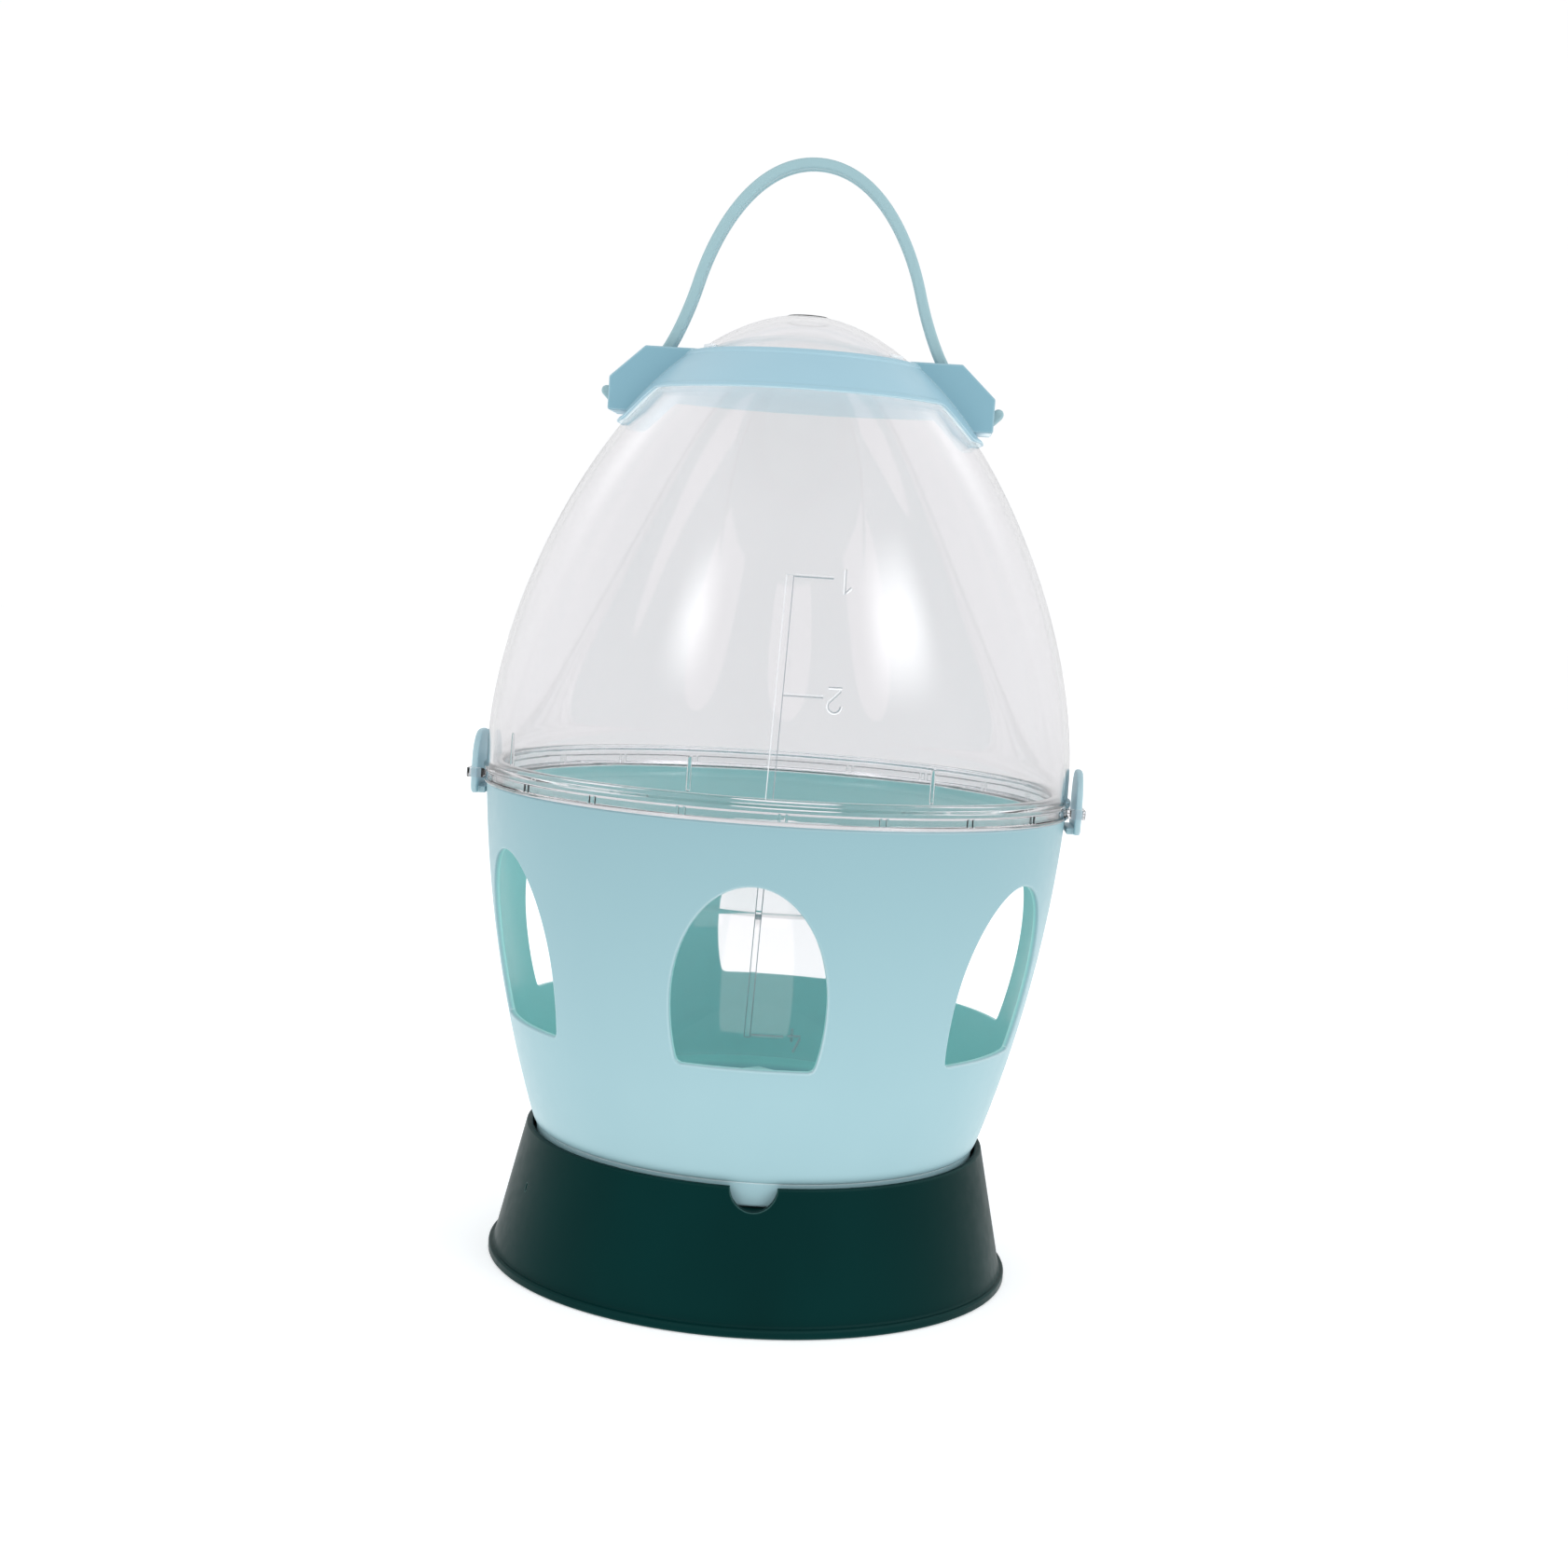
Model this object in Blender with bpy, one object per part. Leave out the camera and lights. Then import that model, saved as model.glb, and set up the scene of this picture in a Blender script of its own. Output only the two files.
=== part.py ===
"""Gravity feeder for poultry and pigeons.

A clear egg-shaped tank stands on a round bowl with six arched feeding windows.
The bowl stands in a conical base ring. Two latches on the bowl's rim go up
through keepers on the tank's flange. A collar on the tank's top carries a
flexible strap handle.

Units are metres. +Z is up, the origin is the centre of the base's underside,
the front window faces -Y, and the latches and the handle's ears are at +X and -X.
"""

import math

import bmesh
import bpy
from mathutils import Matrix

MM = 0.001

# ---- driving dimensions -------------------------------------------------
TOTAL_HEIGHT = 325 * MM          # to the top of the tank, without the handle
TOTAL_WIDTH = 210 * MM           # across the two latch keepers
GAP = 0.3 * MM                   # between pieces that touch or rest
SEGMENTS = 48                    # around each turned piece
SMOOTH_ANGLE = math.radians(35)  # edges flatter than this are shaded smooth
REACH = 5 * MM                   # how far a cutter runs past what it cuts
OVERLAP = 0.1 * MM               # how far joined shapes run into each other

BASE_TOP = 45 * MM
BASE_LIP_RADIUS = 90 * MM
BASE_LIP_HEIGHT = 3 * MM
BASE_FOOT_RADIUS = 88.3 * MM
BASE_TOP_RADIUS = 79 * MM
BASE_WALL = 2.3 * MM
BASE_TURN = math.radians(3.7)    # the base is a push fit and sits slightly turned
BOWL_SEAT = 37.7 * MM            # the ledge that carries the bowl
LEDGE_RADIUS = 70 * MM
LEDGE_THICKNESS = 2 * MM
NOTCH_RADIUS = 7.5 * MM          # half-round notches for lifting the bowl out
SLIT_WIDTH = 1.2 * MM
SLIT_HEIGHT = 2.6 * MM
SLIT_BOTTOM = 27 * MM
SLIT_TURN = math.radians(-62)

BOWL_FLOOR = BOWL_SEAT + GAP
BOWL_RIM = 162 * MM
BOWL_WALL = 2.2 * MM
BOWL_RIM_RADIUS = 99.1 * MM
BOWL_BELLY = (95.7 * MM, 104 * MM)
BOWL_FOOT = (77.6 * MM, 49 * MM)
BOWL_FOOT_GAP = 0.8 * MM         # shadow line between the bowl's foot and the base
PLUG_RADIUS = 75.6 * MM          # the foot that drops into the base ring
PLUG_CHAMFER = 1 * MM
FLOOR_RADIUS = 71.6 * MM
CONE_HEIGHT = 67 * MM            # top of the spreading cone in the bowl's floor
CONE_FOOT_RADIUS = 52 * MM
CONE_TIP_RADIUS = 17 * MM
CONE_TIP_DROP = 5 * MM

WINDOW_COUNT = 6
WINDOW_SILL = 84.3 * MM
WINDOW_MIDDLE = 106 * MM
WINDOW_TOP = 142.8 * MM
WINDOW_HALF_WIDTH = 24.6 * MM
WINDOW_CORNER = 2.5 * MM
WINDOW_DROP = 45 * MM            # height of the lower half-ellipse, which the sill cuts off

FLANGE_BOTTOM = BOWL_RIM + GAP
FLANGE_TOP = 167 * MM
FLANGE_SHOULDER = 1.5 * MM
FLANGE_RADIUS = 100 * MM
TANK_WALL = 2 * MM
TANK_RADIUS = 99.5 * MM
DOME_START = 176 * MM
DOME_SIDE = (98.3 * MM, 235.3 * MM)
DOME_CROWN = 51.6 * MM

NECK_RADIUS = 60 * MM
NECK_TOP = 129 * MM
NECK_RIM = 58 * MM
HOPPER_RADIUS = 96 * MM
HOPPER_START = 158 * MM
HOPPER_TOP = 170 * MM

KEEPER_TOP = FLANGE_BOTTOM + 3.2 * MM
KEEPER_HALF_WIDTH = 15.5 * MM
KEEPER_SKIN = 0.7 * MM
SLOT_INNER = 100.3 * MM
SLOT_HALF_WIDTH = 13.2 * MM

LATCH_THICKNESS = 2.2 * MM
LATCH_HALF_WIDTH = 12.5 * MM
LATCH_BOTTOM = 156.4 * MM
LATCH_TOP = 178 * MM
LATCH_FOOT_HEIGHT = 2.4 * MM
LATCH_ROUND_TOP = 10 * MM
LATCH_ROUND_FOOT = 3 * MM

COLLAR_WALL = 1.8 * MM
COLLAR_TOP = 310.4 * MM
COLLAR_BOTTOM = 296.2 * MM
SKIRT_BOTTOM = 285.4 * MM
SKIRT_HALF_ANGLE = math.radians(23)
SKIRT_BLEND = math.radians(9)
LUG_ANGLES = (28, 152, 208, 332)  # degrees from +X; they hold the collar down
LUG_SIZE = (2.6 * MM, 7 * MM, 1.2 * MM)

EAR_HALF_DEPTH = 11 * MM
EAR_PLATE = 2 * MM
EAR_TOP = 311 * MM
EAR_BOTTOM = 289 * MM
EAR_FLOOR = 1.3 * MM
EAR_TOP_END = 53.2 * MM
EAR_END = 64.8 * MM
EAR_CHAMFER_END = 300.2 * MM
PIN_RADIUS = 1.5 * MM
PIN_X = 61.6 * MM
PIN_Z = 297.3 * MM

STRAP_WIDTH = 8 * MM
STRAP_THICKNESS = 3.6 * MM
STRAP_CHAMFER = 0.9 * MM
STRAP_APEX = 375.3 * MM
STRAP_SHOULDER = (37.6 * MM, 334 * MM)
STRAP_CROWN = 19.5 * MM           # how far the curve's crown reaches sideways
STRAP_LEAN = 0.27                # sideways per height at the shoulder
STRAP_LEG = 18 * MM
STRAP_LEG_ANGLE = math.radians(35)
HOOK_RADIUS = 4.4 * MM
HOOK_TIP = 4.2 * MM


# ---- small tools --------------------------------------------------------
def clear_scene():
    for item in list(bpy.data.objects):
        bpy.data.objects.remove(item, do_unlink=True)


def material(name, colour, roughness, metallic=0.0, transmission=0.0):
    made = bpy.data.materials.new(name)
    made.use_nodes = True
    shader = made.node_tree.nodes["Principled BSDF"]
    shader.inputs["Base Color"].default_value = (*colour, 1.0)
    shader.inputs["Roughness"].default_value = roughness
    shader.inputs["Metallic"].default_value = metallic
    shader.inputs["Transmission Weight"].default_value = transmission
    return made


def make_object(name, bm, look=None, parent=None, origin=(0, 0, 0)):
    """Turn a bmesh in world coordinates into an object whose origin is at origin."""
    bmesh.ops.recalc_face_normals(bm, faces=bm.faces)
    bmesh.ops.translate(bm, verts=bm.verts, vec=[-value for value in origin])
    mesh = bpy.data.meshes.new(name)
    bm.to_mesh(mesh)
    bm.free()
    item = bpy.data.objects.new(name, mesh)
    bpy.context.scene.collection.objects.link(item)
    item.location = origin
    if look is not None:
        mesh.materials.append(look)
        mesh.shade_smooth()
        mesh.set_sharp_from_angle(angle=SMOOTH_ANGLE)
    if parent is not None:
        item.parent = parent
        item.matrix_parent_inverse = parent.matrix_world.inverted()
    return item


def bezier(points, steps):
    """Points along a quadratic or cubic curve, both ends included."""
    degree = len(points) - 1
    curve = []
    for step in range(steps + 1):
        t = step / steps
        weights = [math.comb(degree, k) * t ** k * (1 - t) ** (degree - k) for k in range(degree + 1)]
        x = sum(w * p[0] for w, p in zip(weights, points))
        y = sum(w * p[1] for w, p in zip(weights, points))
        curve.append((x, y))
    return curve


def offset_curve(curve, distance):
    """The same curve moved to its left-hand side by distance."""
    moved = []
    for index, point in enumerate(curve):
        before = curve[max(index - 1, 0)]
        after = curve[min(index + 1, len(curve) - 1)]
        dx = after[0] - before[0]
        dy = after[1] - before[1]
        length = math.hypot(dx, dy)
        moved.append((point[0] - dy / length * distance, point[1] + dx / length * distance))
    return moved


def turned(profile):
    """A solid turned around the Z axis from a closed outline of (radius, z) points."""
    bm = bmesh.new()
    points = [bm.verts.new((radius, 0, z)) for radius, z in profile]
    edges = [bm.edges.new((a, b)) for a, b in zip(points, points[1:])]
    if profile[0][0] > 0 or profile[-1][0] > 0:
        edges.append(bm.edges.new((points[-1], points[0])))
    bmesh.ops.spin(bm, geom=points + edges, cent=(0, 0, 0), axis=(0, 0, 1),
                   angle=2 * math.pi, steps=SEGMENTS, use_merge=True)
    bmesh.ops.remove_doubles(bm, verts=bm.verts, dist=0.001 * MM)
    return bm


def box(low, high):
    bm = bmesh.new()
    bmesh.ops.create_cube(bm, size=1)
    for vert in bm.verts:
        for axis in range(3):
            vert.co[axis] = high[axis] if vert.co[axis] > 0 else low[axis]
    return bm


def plate_y(outline, y_low, y_high):
    """A flat plate with an outline of (x, z) points, from y_low to y_high."""
    bm = bmesh.new()
    face = bm.faces.new([bm.verts.new((x, y_low, z)) for x, z in outline])
    grown = bmesh.ops.extrude_face_region(bm, geom=[face])["geom"]
    moved = [item for item in grown if isinstance(item, bmesh.types.BMVert)]
    bmesh.ops.translate(bm, verts=moved, vec=(0, y_high - y_low, 0))
    return bm


def plate_x(outline, x_low, x_high):
    """A flat plate with an outline of (y, z) points, from x_low to x_high."""
    bm = plate_y(outline, x_low, x_high)
    for vert in bm.verts:
        vert.co.x, vert.co.y = vert.co.y, vert.co.x
    return bm


def cylinder_y(radius, x, z, y_low, y_high, sides):
    outline = []
    for side in range(sides):
        angle = 2 * math.pi * side / sides
        outline.append((x + radius * math.cos(angle), z + radius * math.sin(angle)))
    return plate_y(outline, y_low, y_high)


def spin_bm(bm, angle):
    """Turn a shape around the Z axis."""
    bmesh.ops.rotate(bm, verts=bm.verts, cent=(0, 0, 0), matrix=Matrix.Rotation(angle, 3, "Z"))
    return bm


def tool_object(name, bm):
    """A Boolean operand, which is not part of the model itself."""
    tool = make_object(name, bm)
    tool.hide_render = True
    tool.display_type = "WIRE"
    return tool


def combine(item, bm, operation, label):
    modifier = item.modifiers.new(label, "BOOLEAN")
    modifier.operation = operation
    modifier.solver = "EXACT"
    modifier.object = tool_object(f"tool_{item.name}_{label}", bm)


def cut(item, bm, label):
    combine(item, bm, "DIFFERENCE", label)


def join(item, bm, label):
    combine(item, bm, "UNION", label)


# ---- base ---------------------------------------------------------------
def base_ring(look):
    slope = (BASE_FOOT_RADIUS - BASE_TOP_RADIUS) / (BASE_TOP - BASE_LIP_HEIGHT)

    def inner_radius(z):
        return BASE_TOP_RADIUS + slope * (BASE_TOP - z) - BASE_WALL

    under_ledge = BOWL_SEAT - LEDGE_THICKNESS
    profile = [
        (BASE_LIP_RADIUS, 0),
        (BASE_LIP_RADIUS, BASE_LIP_HEIGHT),
        (BASE_FOOT_RADIUS, BASE_LIP_HEIGHT),
        (BASE_TOP_RADIUS, BASE_TOP),
        (inner_radius(BASE_TOP), BASE_TOP),
        (inner_radius(BOWL_SEAT), BOWL_SEAT),
        (LEDGE_RADIUS, BOWL_SEAT),
        (LEDGE_RADIUS, under_ledge),
        (inner_radius(under_ledge), under_ledge),
        (inner_radius(0), 0),
    ]
    ring = make_object("base_ring", turned(profile), look)
    reach = BASE_LIP_RADIUS + REACH
    notch = cylinder_y(NOTCH_RADIUS, 0, BASE_TOP, -reach, reach, 32)
    cut(ring, spin_bm(notch, BASE_TURN), "notches")
    slit = box((-SLIT_WIDTH / 2, -reach, SLIT_BOTTOM),
               (SLIT_WIDTH / 2, -LEDGE_RADIUS, SLIT_BOTTOM + SLIT_HEIGHT))
    cut(ring, spin_bm(slit, SLIT_TURN), "slit")
    return ring


# ---- bowl ---------------------------------------------------------------
def bowl_outer():
    """The outer wall, from the rim down to where the foot turns in."""
    return bezier([(BOWL_RIM_RADIUS, BOWL_RIM), BOWL_BELLY, BOWL_FOOT], 10)


def bowl_profile():
    outer = bowl_outer()
    inner = offset_curve(outer, -BOWL_WALL)
    inner[0] = (BOWL_RIM_RADIUS - BOWL_WALL, BOWL_RIM)
    floor_top = BOWL_FLOOR + BOWL_WALL
    tip = bezier([(CONE_TIP_RADIUS, CONE_HEIGHT - CONE_TIP_DROP), (CONE_TIP_RADIUS / 2, CONE_HEIGHT),
                  (0, CONE_HEIGHT)], 4)
    under_tip = [(radius, z - BOWL_WALL) for radius, z in reversed(tip)]
    return (
        under_tip
        + [(CONE_FOOT_RADIUS - BOWL_WALL, BOWL_FLOOR), (PLUG_RADIUS - PLUG_CHAMFER, BOWL_FLOOR)]
        + [(PLUG_RADIUS, BOWL_FLOOR + PLUG_CHAMFER), (PLUG_RADIUS, BASE_TOP + BOWL_FOOT_GAP)]
        + list(reversed(outer))
        + inner
        + [(PLUG_RADIUS - BOWL_WALL, floor_top + BOWL_WALL), (FLOOR_RADIUS, floor_top)]
        + [(CONE_FOOT_RADIUS, floor_top)]
        + tip
    )


def window_outline():
    """An egg-shaped arch with a flat sill, as (x, z) points."""
    rise = WINDOW_TOP - WINDOW_MIDDLE
    outline = []
    steps = 12
    for step in range(steps + 1):
        angle = math.pi * step / steps
        outline.append((WINDOW_HALF_WIDTH * math.cos(angle), WINDOW_MIDDLE + rise * math.sin(angle)))
    narrowing = math.sqrt(1 - ((WINDOW_MIDDLE - WINDOW_SILL - WINDOW_CORNER) / WINDOW_DROP) ** 2)
    side = WINDOW_HALF_WIDTH * narrowing
    outline += [(-side, WINDOW_SILL + WINDOW_CORNER), (-side + WINDOW_CORNER, WINDOW_SILL)]
    outline += [(side - WINDOW_CORNER, WINDOW_SILL), (side, WINDOW_SILL + WINDOW_CORNER)]
    return outline


def feed_bowl(look):
    bowl = make_object("feed_bowl", turned(bowl_profile()), look)
    for window in range(WINDOW_COUNT):
        cutter = plate_y(window_outline(), -BOWL_RIM_RADIUS - REACH, -NECK_RADIUS)
        turn = 2 * math.pi * window / WINDOW_COUNT
        cut(bowl, spin_bm(cutter, turn), f"window_{window + 1}")
    return bowl


# ---- latches ------------------------------------------------------------
def latch(name, side, look, parent):
    """A springy tab on the bowl's rim; side is +1 at +X and -1 at -X."""
    outer = TOTAL_WIDTH / 2 - KEEPER_SKIN - GAP
    inner = outer - LATCH_THICKNESS
    outline = []
    steps = 6
    for step in range(steps + 1):
        angle = math.pi / 2 * step / steps
        outline.append((LATCH_HALF_WIDTH - LATCH_ROUND_TOP + LATCH_ROUND_TOP * math.cos(angle),
                        LATCH_TOP - LATCH_ROUND_TOP + LATCH_ROUND_TOP * math.sin(angle)))
    outline += [(-y, z) for y, z in reversed(outline)]
    outline += [(-LATCH_HALF_WIDTH, LATCH_BOTTOM + LATCH_ROUND_FOOT)]
    outline += [(-LATCH_HALF_WIDTH + LATCH_ROUND_FOOT, LATCH_BOTTOM)]
    outline += [(LATCH_HALF_WIDTH - LATCH_ROUND_FOOT, LATCH_BOTTOM)]
    outline += [(LATCH_HALF_WIDTH, LATCH_BOTTOM + LATCH_ROUND_FOOT)]
    root = BOWL_RIM_RADIUS + GAP
    hinge = (side * root, 0, LATCH_BOTTOM + LATCH_FOOT_HEIGHT / 2)
    tab = plate_x(outline, side * inner, side * outer)
    item = make_object(name, tab, look, parent, hinge)
    reach = LATCH_HALF_WIDTH - LATCH_ROUND_FOOT
    ends = sorted((side * root, side * (outer - LATCH_THICKNESS / 2)))
    foot = box((ends[0], -reach, LATCH_BOTTOM + OVERLAP), (ends[1], reach, LATCH_BOTTOM + LATCH_FOOT_HEIGHT))
    join(item, foot, "foot")
    return item


# ---- tank ---------------------------------------------------------------
def dome_outer(steps=16):
    """The dome's outer curve, from its straight wall up to its crown."""
    start = (TANK_RADIUS, DOME_START)
    return bezier([start, DOME_SIDE, (DOME_CROWN, TOTAL_HEIGHT), (0, TOTAL_HEIGHT)], steps)


def dome_radius(z):
    """Outer radius of the dome at a height on its curve."""
    curve = dome_outer(200)
    for lower, upper in zip(curve, curve[1:]):
        if lower[1] <= z <= upper[1]:
            share = (z - lower[1]) / (upper[1] - lower[1])
            return lower[0] + share * (upper[0] - lower[0])
    return TANK_RADIUS


def tank_dome(look, parent):
    outer = dome_outer()
    inner = offset_curve(outer, TANK_WALL)
    inner[-1] = (0, TOTAL_HEIGHT - TANK_WALL)
    profile = (
        list(reversed(inner))
        + [(TANK_RADIUS - TANK_WALL, FLANGE_BOTTOM), (FLANGE_RADIUS, FLANGE_BOTTOM)]
        + [(FLANGE_RADIUS, FLANGE_TOP), (TANK_RADIUS, FLANGE_TOP + FLANGE_SHOULDER)]
        + outer
    )
    dome = make_object("tank_dome", turned(profile), look, parent)
    for side, label in ((-1, "left"), (1, "right")):
        ends = sorted((side * (TANK_RADIUS - TANK_WALL / 2), side * TOTAL_WIDTH / 2))
        keeper = box((ends[0], -KEEPER_HALF_WIDTH, FLANGE_BOTTOM), (ends[1], KEEPER_HALF_WIDTH, KEEPER_TOP))
        join(dome, keeper, f"{label}_keeper")
        ends = sorted((side * SLOT_INNER, side * (TOTAL_WIDTH / 2 - KEEPER_SKIN)))
        slot = box((ends[0], -SLOT_HALF_WIDTH, FLANGE_BOTTOM - MM),
                   (ends[1], SLOT_HALF_WIDTH, KEEPER_TOP + MM))
        cut(dome, slot, f"{label}_slot")
    lug_z = COLLAR_TOP + 2 * GAP
    lug_radius = dome_radius(lug_z + LUG_SIZE[2])
    for number, degrees in enumerate(LUG_ANGLES):
        start = lug_radius - TANK_WALL / 2
        lug = box((start, -LUG_SIZE[1] / 2, lug_z),
                  (start + LUG_SIZE[0], LUG_SIZE[1] / 2, lug_z + LUG_SIZE[2]))
        join(dome, spin_bm(lug, math.radians(degrees)), f"lug_{number + 1}")
    return dome


def tank_hopper(look, parent):
    """The tank's floor: a funnel and a neck that ends above the bowl's floor."""
    seam = TANK_RADIUS - TANK_WALL - GAP
    wall = TANK_WALL
    profile = [
        (seam, HOPPER_TOP),
        (seam, BOWL_RIM + MM),
        (HOPPER_RADIUS, BOWL_RIM),
        (HOPPER_RADIUS, HOPPER_START),
        (NECK_RADIUS, NECK_TOP),
        (NECK_RADIUS, NECK_RIM),
        (NECK_RADIUS - wall, NECK_RIM),
        (NECK_RADIUS - wall, NECK_TOP + wall / 2),
        (HOPPER_RADIUS - wall, HOPPER_START + wall / 2),
        (HOPPER_RADIUS - wall, HOPPER_TOP),
    ]
    return make_object("tank_hopper", turned(profile), look, parent)


# ---- collar and handle --------------------------------------------------
def collar_low(angle):
    """Height of the collar's lower edge; it drops into a skirt below each ear."""
    from_side = abs(math.remainder(angle, math.pi))
    share = (from_side - SKIRT_HALF_ANGLE) / SKIRT_BLEND + 0.5
    share = min(max(share, 0.0), 1.0)
    smooth = share * share * (3 - 2 * share)
    return SKIRT_BOTTOM + (COLLAR_BOTTOM - SKIRT_BOTTOM) * smooth


def collar_band():
    """A shell that hugs the dome, with a lower edge that varies around it."""
    columns = 2 * SEGMENTS
    rows = 5
    bm = bmesh.new()
    shells = []
    for extra in (GAP, GAP + COLLAR_WALL):
        shell = []
        for column in range(columns):
            angle = 2 * math.pi * column / columns
            low = collar_low(angle)
            line = []
            for row in range(rows + 1):
                z = low + (COLLAR_TOP - low) * row / rows
                radius = dome_radius(z) + extra
                line.append(bm.verts.new((radius * math.cos(angle), radius * math.sin(angle), z)))
            shell.append(line)
        shells.append(shell)
    inner, outer = shells
    for column in range(columns):
        following = (column + 1) % columns
        for row in range(rows):
            for shell in shells:
                bm.faces.new((shell[column][row], shell[following][row],
                              shell[following][row + 1], shell[column][row + 1]))
        for row in (0, rows):
            bm.faces.new((inner[column][row], inner[following][row],
                          outer[following][row], outer[column][row]))
    return bm


def ear_plate(side, y_low, y_high):
    """One side plate of an ear; its inner edge ends inside the collar's wall."""
    middle = (y_low + y_high) / 2
    outline = []
    for step in range(5):
        z = EAR_BOTTOM + (EAR_TOP - EAR_BOTTOM) * step / 4
        wall_middle = dome_radius(z) + GAP + COLLAR_WALL / 2
        outline.append((side * math.sqrt(wall_middle ** 2 - middle ** 2), z))
    outline += [(side * EAR_TOP_END, EAR_TOP), (side * EAR_END, EAR_CHAMFER_END)]
    outline += [(side * EAR_END, EAR_BOTTOM)]
    return plate_y(outline, y_low, y_high)


def carry_collar(look, parent):
    collar = make_object("carry_collar", collar_band(), look, parent)
    plate_inside = EAR_HALF_DEPTH - EAR_PLATE
    for side, label in ((-1, "left"), (1, "right")):
        join(collar, ear_plate(side, -EAR_HALF_DEPTH, -plate_inside), f"{label}_front_plate")
        join(collar, ear_plate(side, plate_inside, EAR_HALF_DEPTH), f"{label}_rear_plate")
        root = dome_radius(EAR_BOTTOM) + GAP + COLLAR_WALL / 4
        ends = sorted((side * root, side * (EAR_END - OVERLAP)))
        inside = plate_inside + EAR_PLATE / 2
        floor = box((ends[0], -inside, EAR_BOTTOM + OVERLAP), (ends[1], inside, EAR_BOTTOM + EAR_FLOOR))
        join(collar, floor, f"{label}_floor")
        pin = cylinder_y(PIN_RADIUS, side * PIN_X, PIN_Z, -inside, inside, 12)
        join(collar, pin, f"{label}_pin")
    return collar


def strap_path():
    """Centre line of the right half of the strap, from the apex to the hook's tip."""
    shoulder_x, shoulder_z = STRAP_SHOULDER
    down = (math.sin(STRAP_LEG_ANGLE), -math.cos(STRAP_LEG_ANGLE))
    tangent = (PIN_X - HOOK_RADIUS * math.cos(STRAP_LEG_ANGLE),
               PIN_Z - HOOK_RADIUS * math.sin(STRAP_LEG_ANGLE))
    leg_top = (tangent[0] - down[0] * STRAP_LEG, tangent[1] - down[1] * STRAP_LEG)

    def beside_shoulder(rise):
        """A point on the strap's tangent at its shoulder."""
        return (shoulder_x - STRAP_LEAN * rise, shoulder_z + rise)

    pull = 6 * MM
    leg_pull = (leg_top[0] - down[0] * pull, leg_top[1] - down[1] * pull)
    arch = bezier([(0, STRAP_APEX), (STRAP_CROWN, STRAP_APEX), beside_shoulder(20 * MM), STRAP_SHOULDER], 10)
    flare = bezier([STRAP_SHOULDER, beside_shoulder(-9 * MM), leg_pull, leg_top], 4)
    path = arch + flare[1:]
    hook_start = math.pi + STRAP_LEG_ANGLE
    hook_end = math.radians(315)
    hook_steps = 6
    for step in range(hook_steps + 1):
        angle = hook_start + (hook_end - hook_start) * step / hook_steps
        path.append((PIN_X + HOOK_RADIUS * math.cos(angle), PIN_Z + HOOK_RADIUS * math.sin(angle)))
    last = path[-1]
    diagonal = math.sqrt(0.5)
    path.append((last[0] + HOOK_TIP * diagonal, last[1] + HOOK_TIP * diagonal))
    return path


def handle_strap(look, parent):
    half = strap_path()
    path = [(-x, z) for x, z in reversed(half[1:])] + half
    across = STRAP_THICKNESS / 2
    wide = STRAP_WIDTH / 2
    section = [
        (across, -wide + STRAP_CHAMFER), (across, wide - STRAP_CHAMFER),
        (across - STRAP_CHAMFER, wide), (-across + STRAP_CHAMFER, wide),
        (-across, wide - STRAP_CHAMFER), (-across, -wide + STRAP_CHAMFER),
        (-across + STRAP_CHAMFER, -wide), (across - STRAP_CHAMFER, -wide),
    ]
    bm = bmesh.new()
    rings = []
    for index, (x, z) in enumerate(path):
        before = path[max(index - 1, 0)]
        after = path[min(index + 1, len(path) - 1)]
        length = math.hypot(after[0] - before[0], after[1] - before[1])
        normal = (-(after[1] - before[1]) / length, (after[0] - before[0]) / length)
        rings.append([bm.verts.new((x + normal[0] * t, y, z + normal[1] * t)) for t, y in section])
    for first, second in zip(rings, rings[1:]):
        for corner in range(len(section)):
            following = (corner + 1) % len(section)
            bm.faces.new((first[corner], first[following], second[following], second[corner]))
    bm.faces.new(rings[0])
    bm.faces.new(rings[-1])
    return make_object("handle_strap", bm, look, parent, (0, 0, PIN_Z))


# ---- assembly -----------------------------------------------------------
def main():
    clear_scene()
    clear = material("clear_plastic", (0.86, 0.88, 0.91), 0.06, transmission=0.9)
    teal = material("teal_plastic", (0.36, 0.60, 0.65), 0.28)
    blue = material("light_blue_plastic", (0.30, 0.56, 0.67), 0.3)
    strap = material("flexible_teal_plastic", (0.33, 0.58, 0.62), 0.4)
    dark = material("dark_green_plastic", (0.006, 0.030, 0.028), 0.3)

    ring = base_ring(dark)
    bowl = feed_bowl(teal)
    bowl.parent = ring
    dome = tank_dome(clear, bowl)
    tank_hopper(clear, dome)
    collar = carry_collar(blue, dome)
    handle_strap(strap, collar)
    latch("left_latch", -1, teal, bowl)
    latch("right_latch", 1, teal, bowl)


main()
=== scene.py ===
"""Looks of the gravity feeder: fine meshes, moulded plastics, studio light and camera.

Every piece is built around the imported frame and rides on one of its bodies.
Units are metres. +Z is up and the front window faces -Y.
"""

import math

import bmesh
import bpy
import numpy as np
from mathutils import Matrix, Vector


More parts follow.
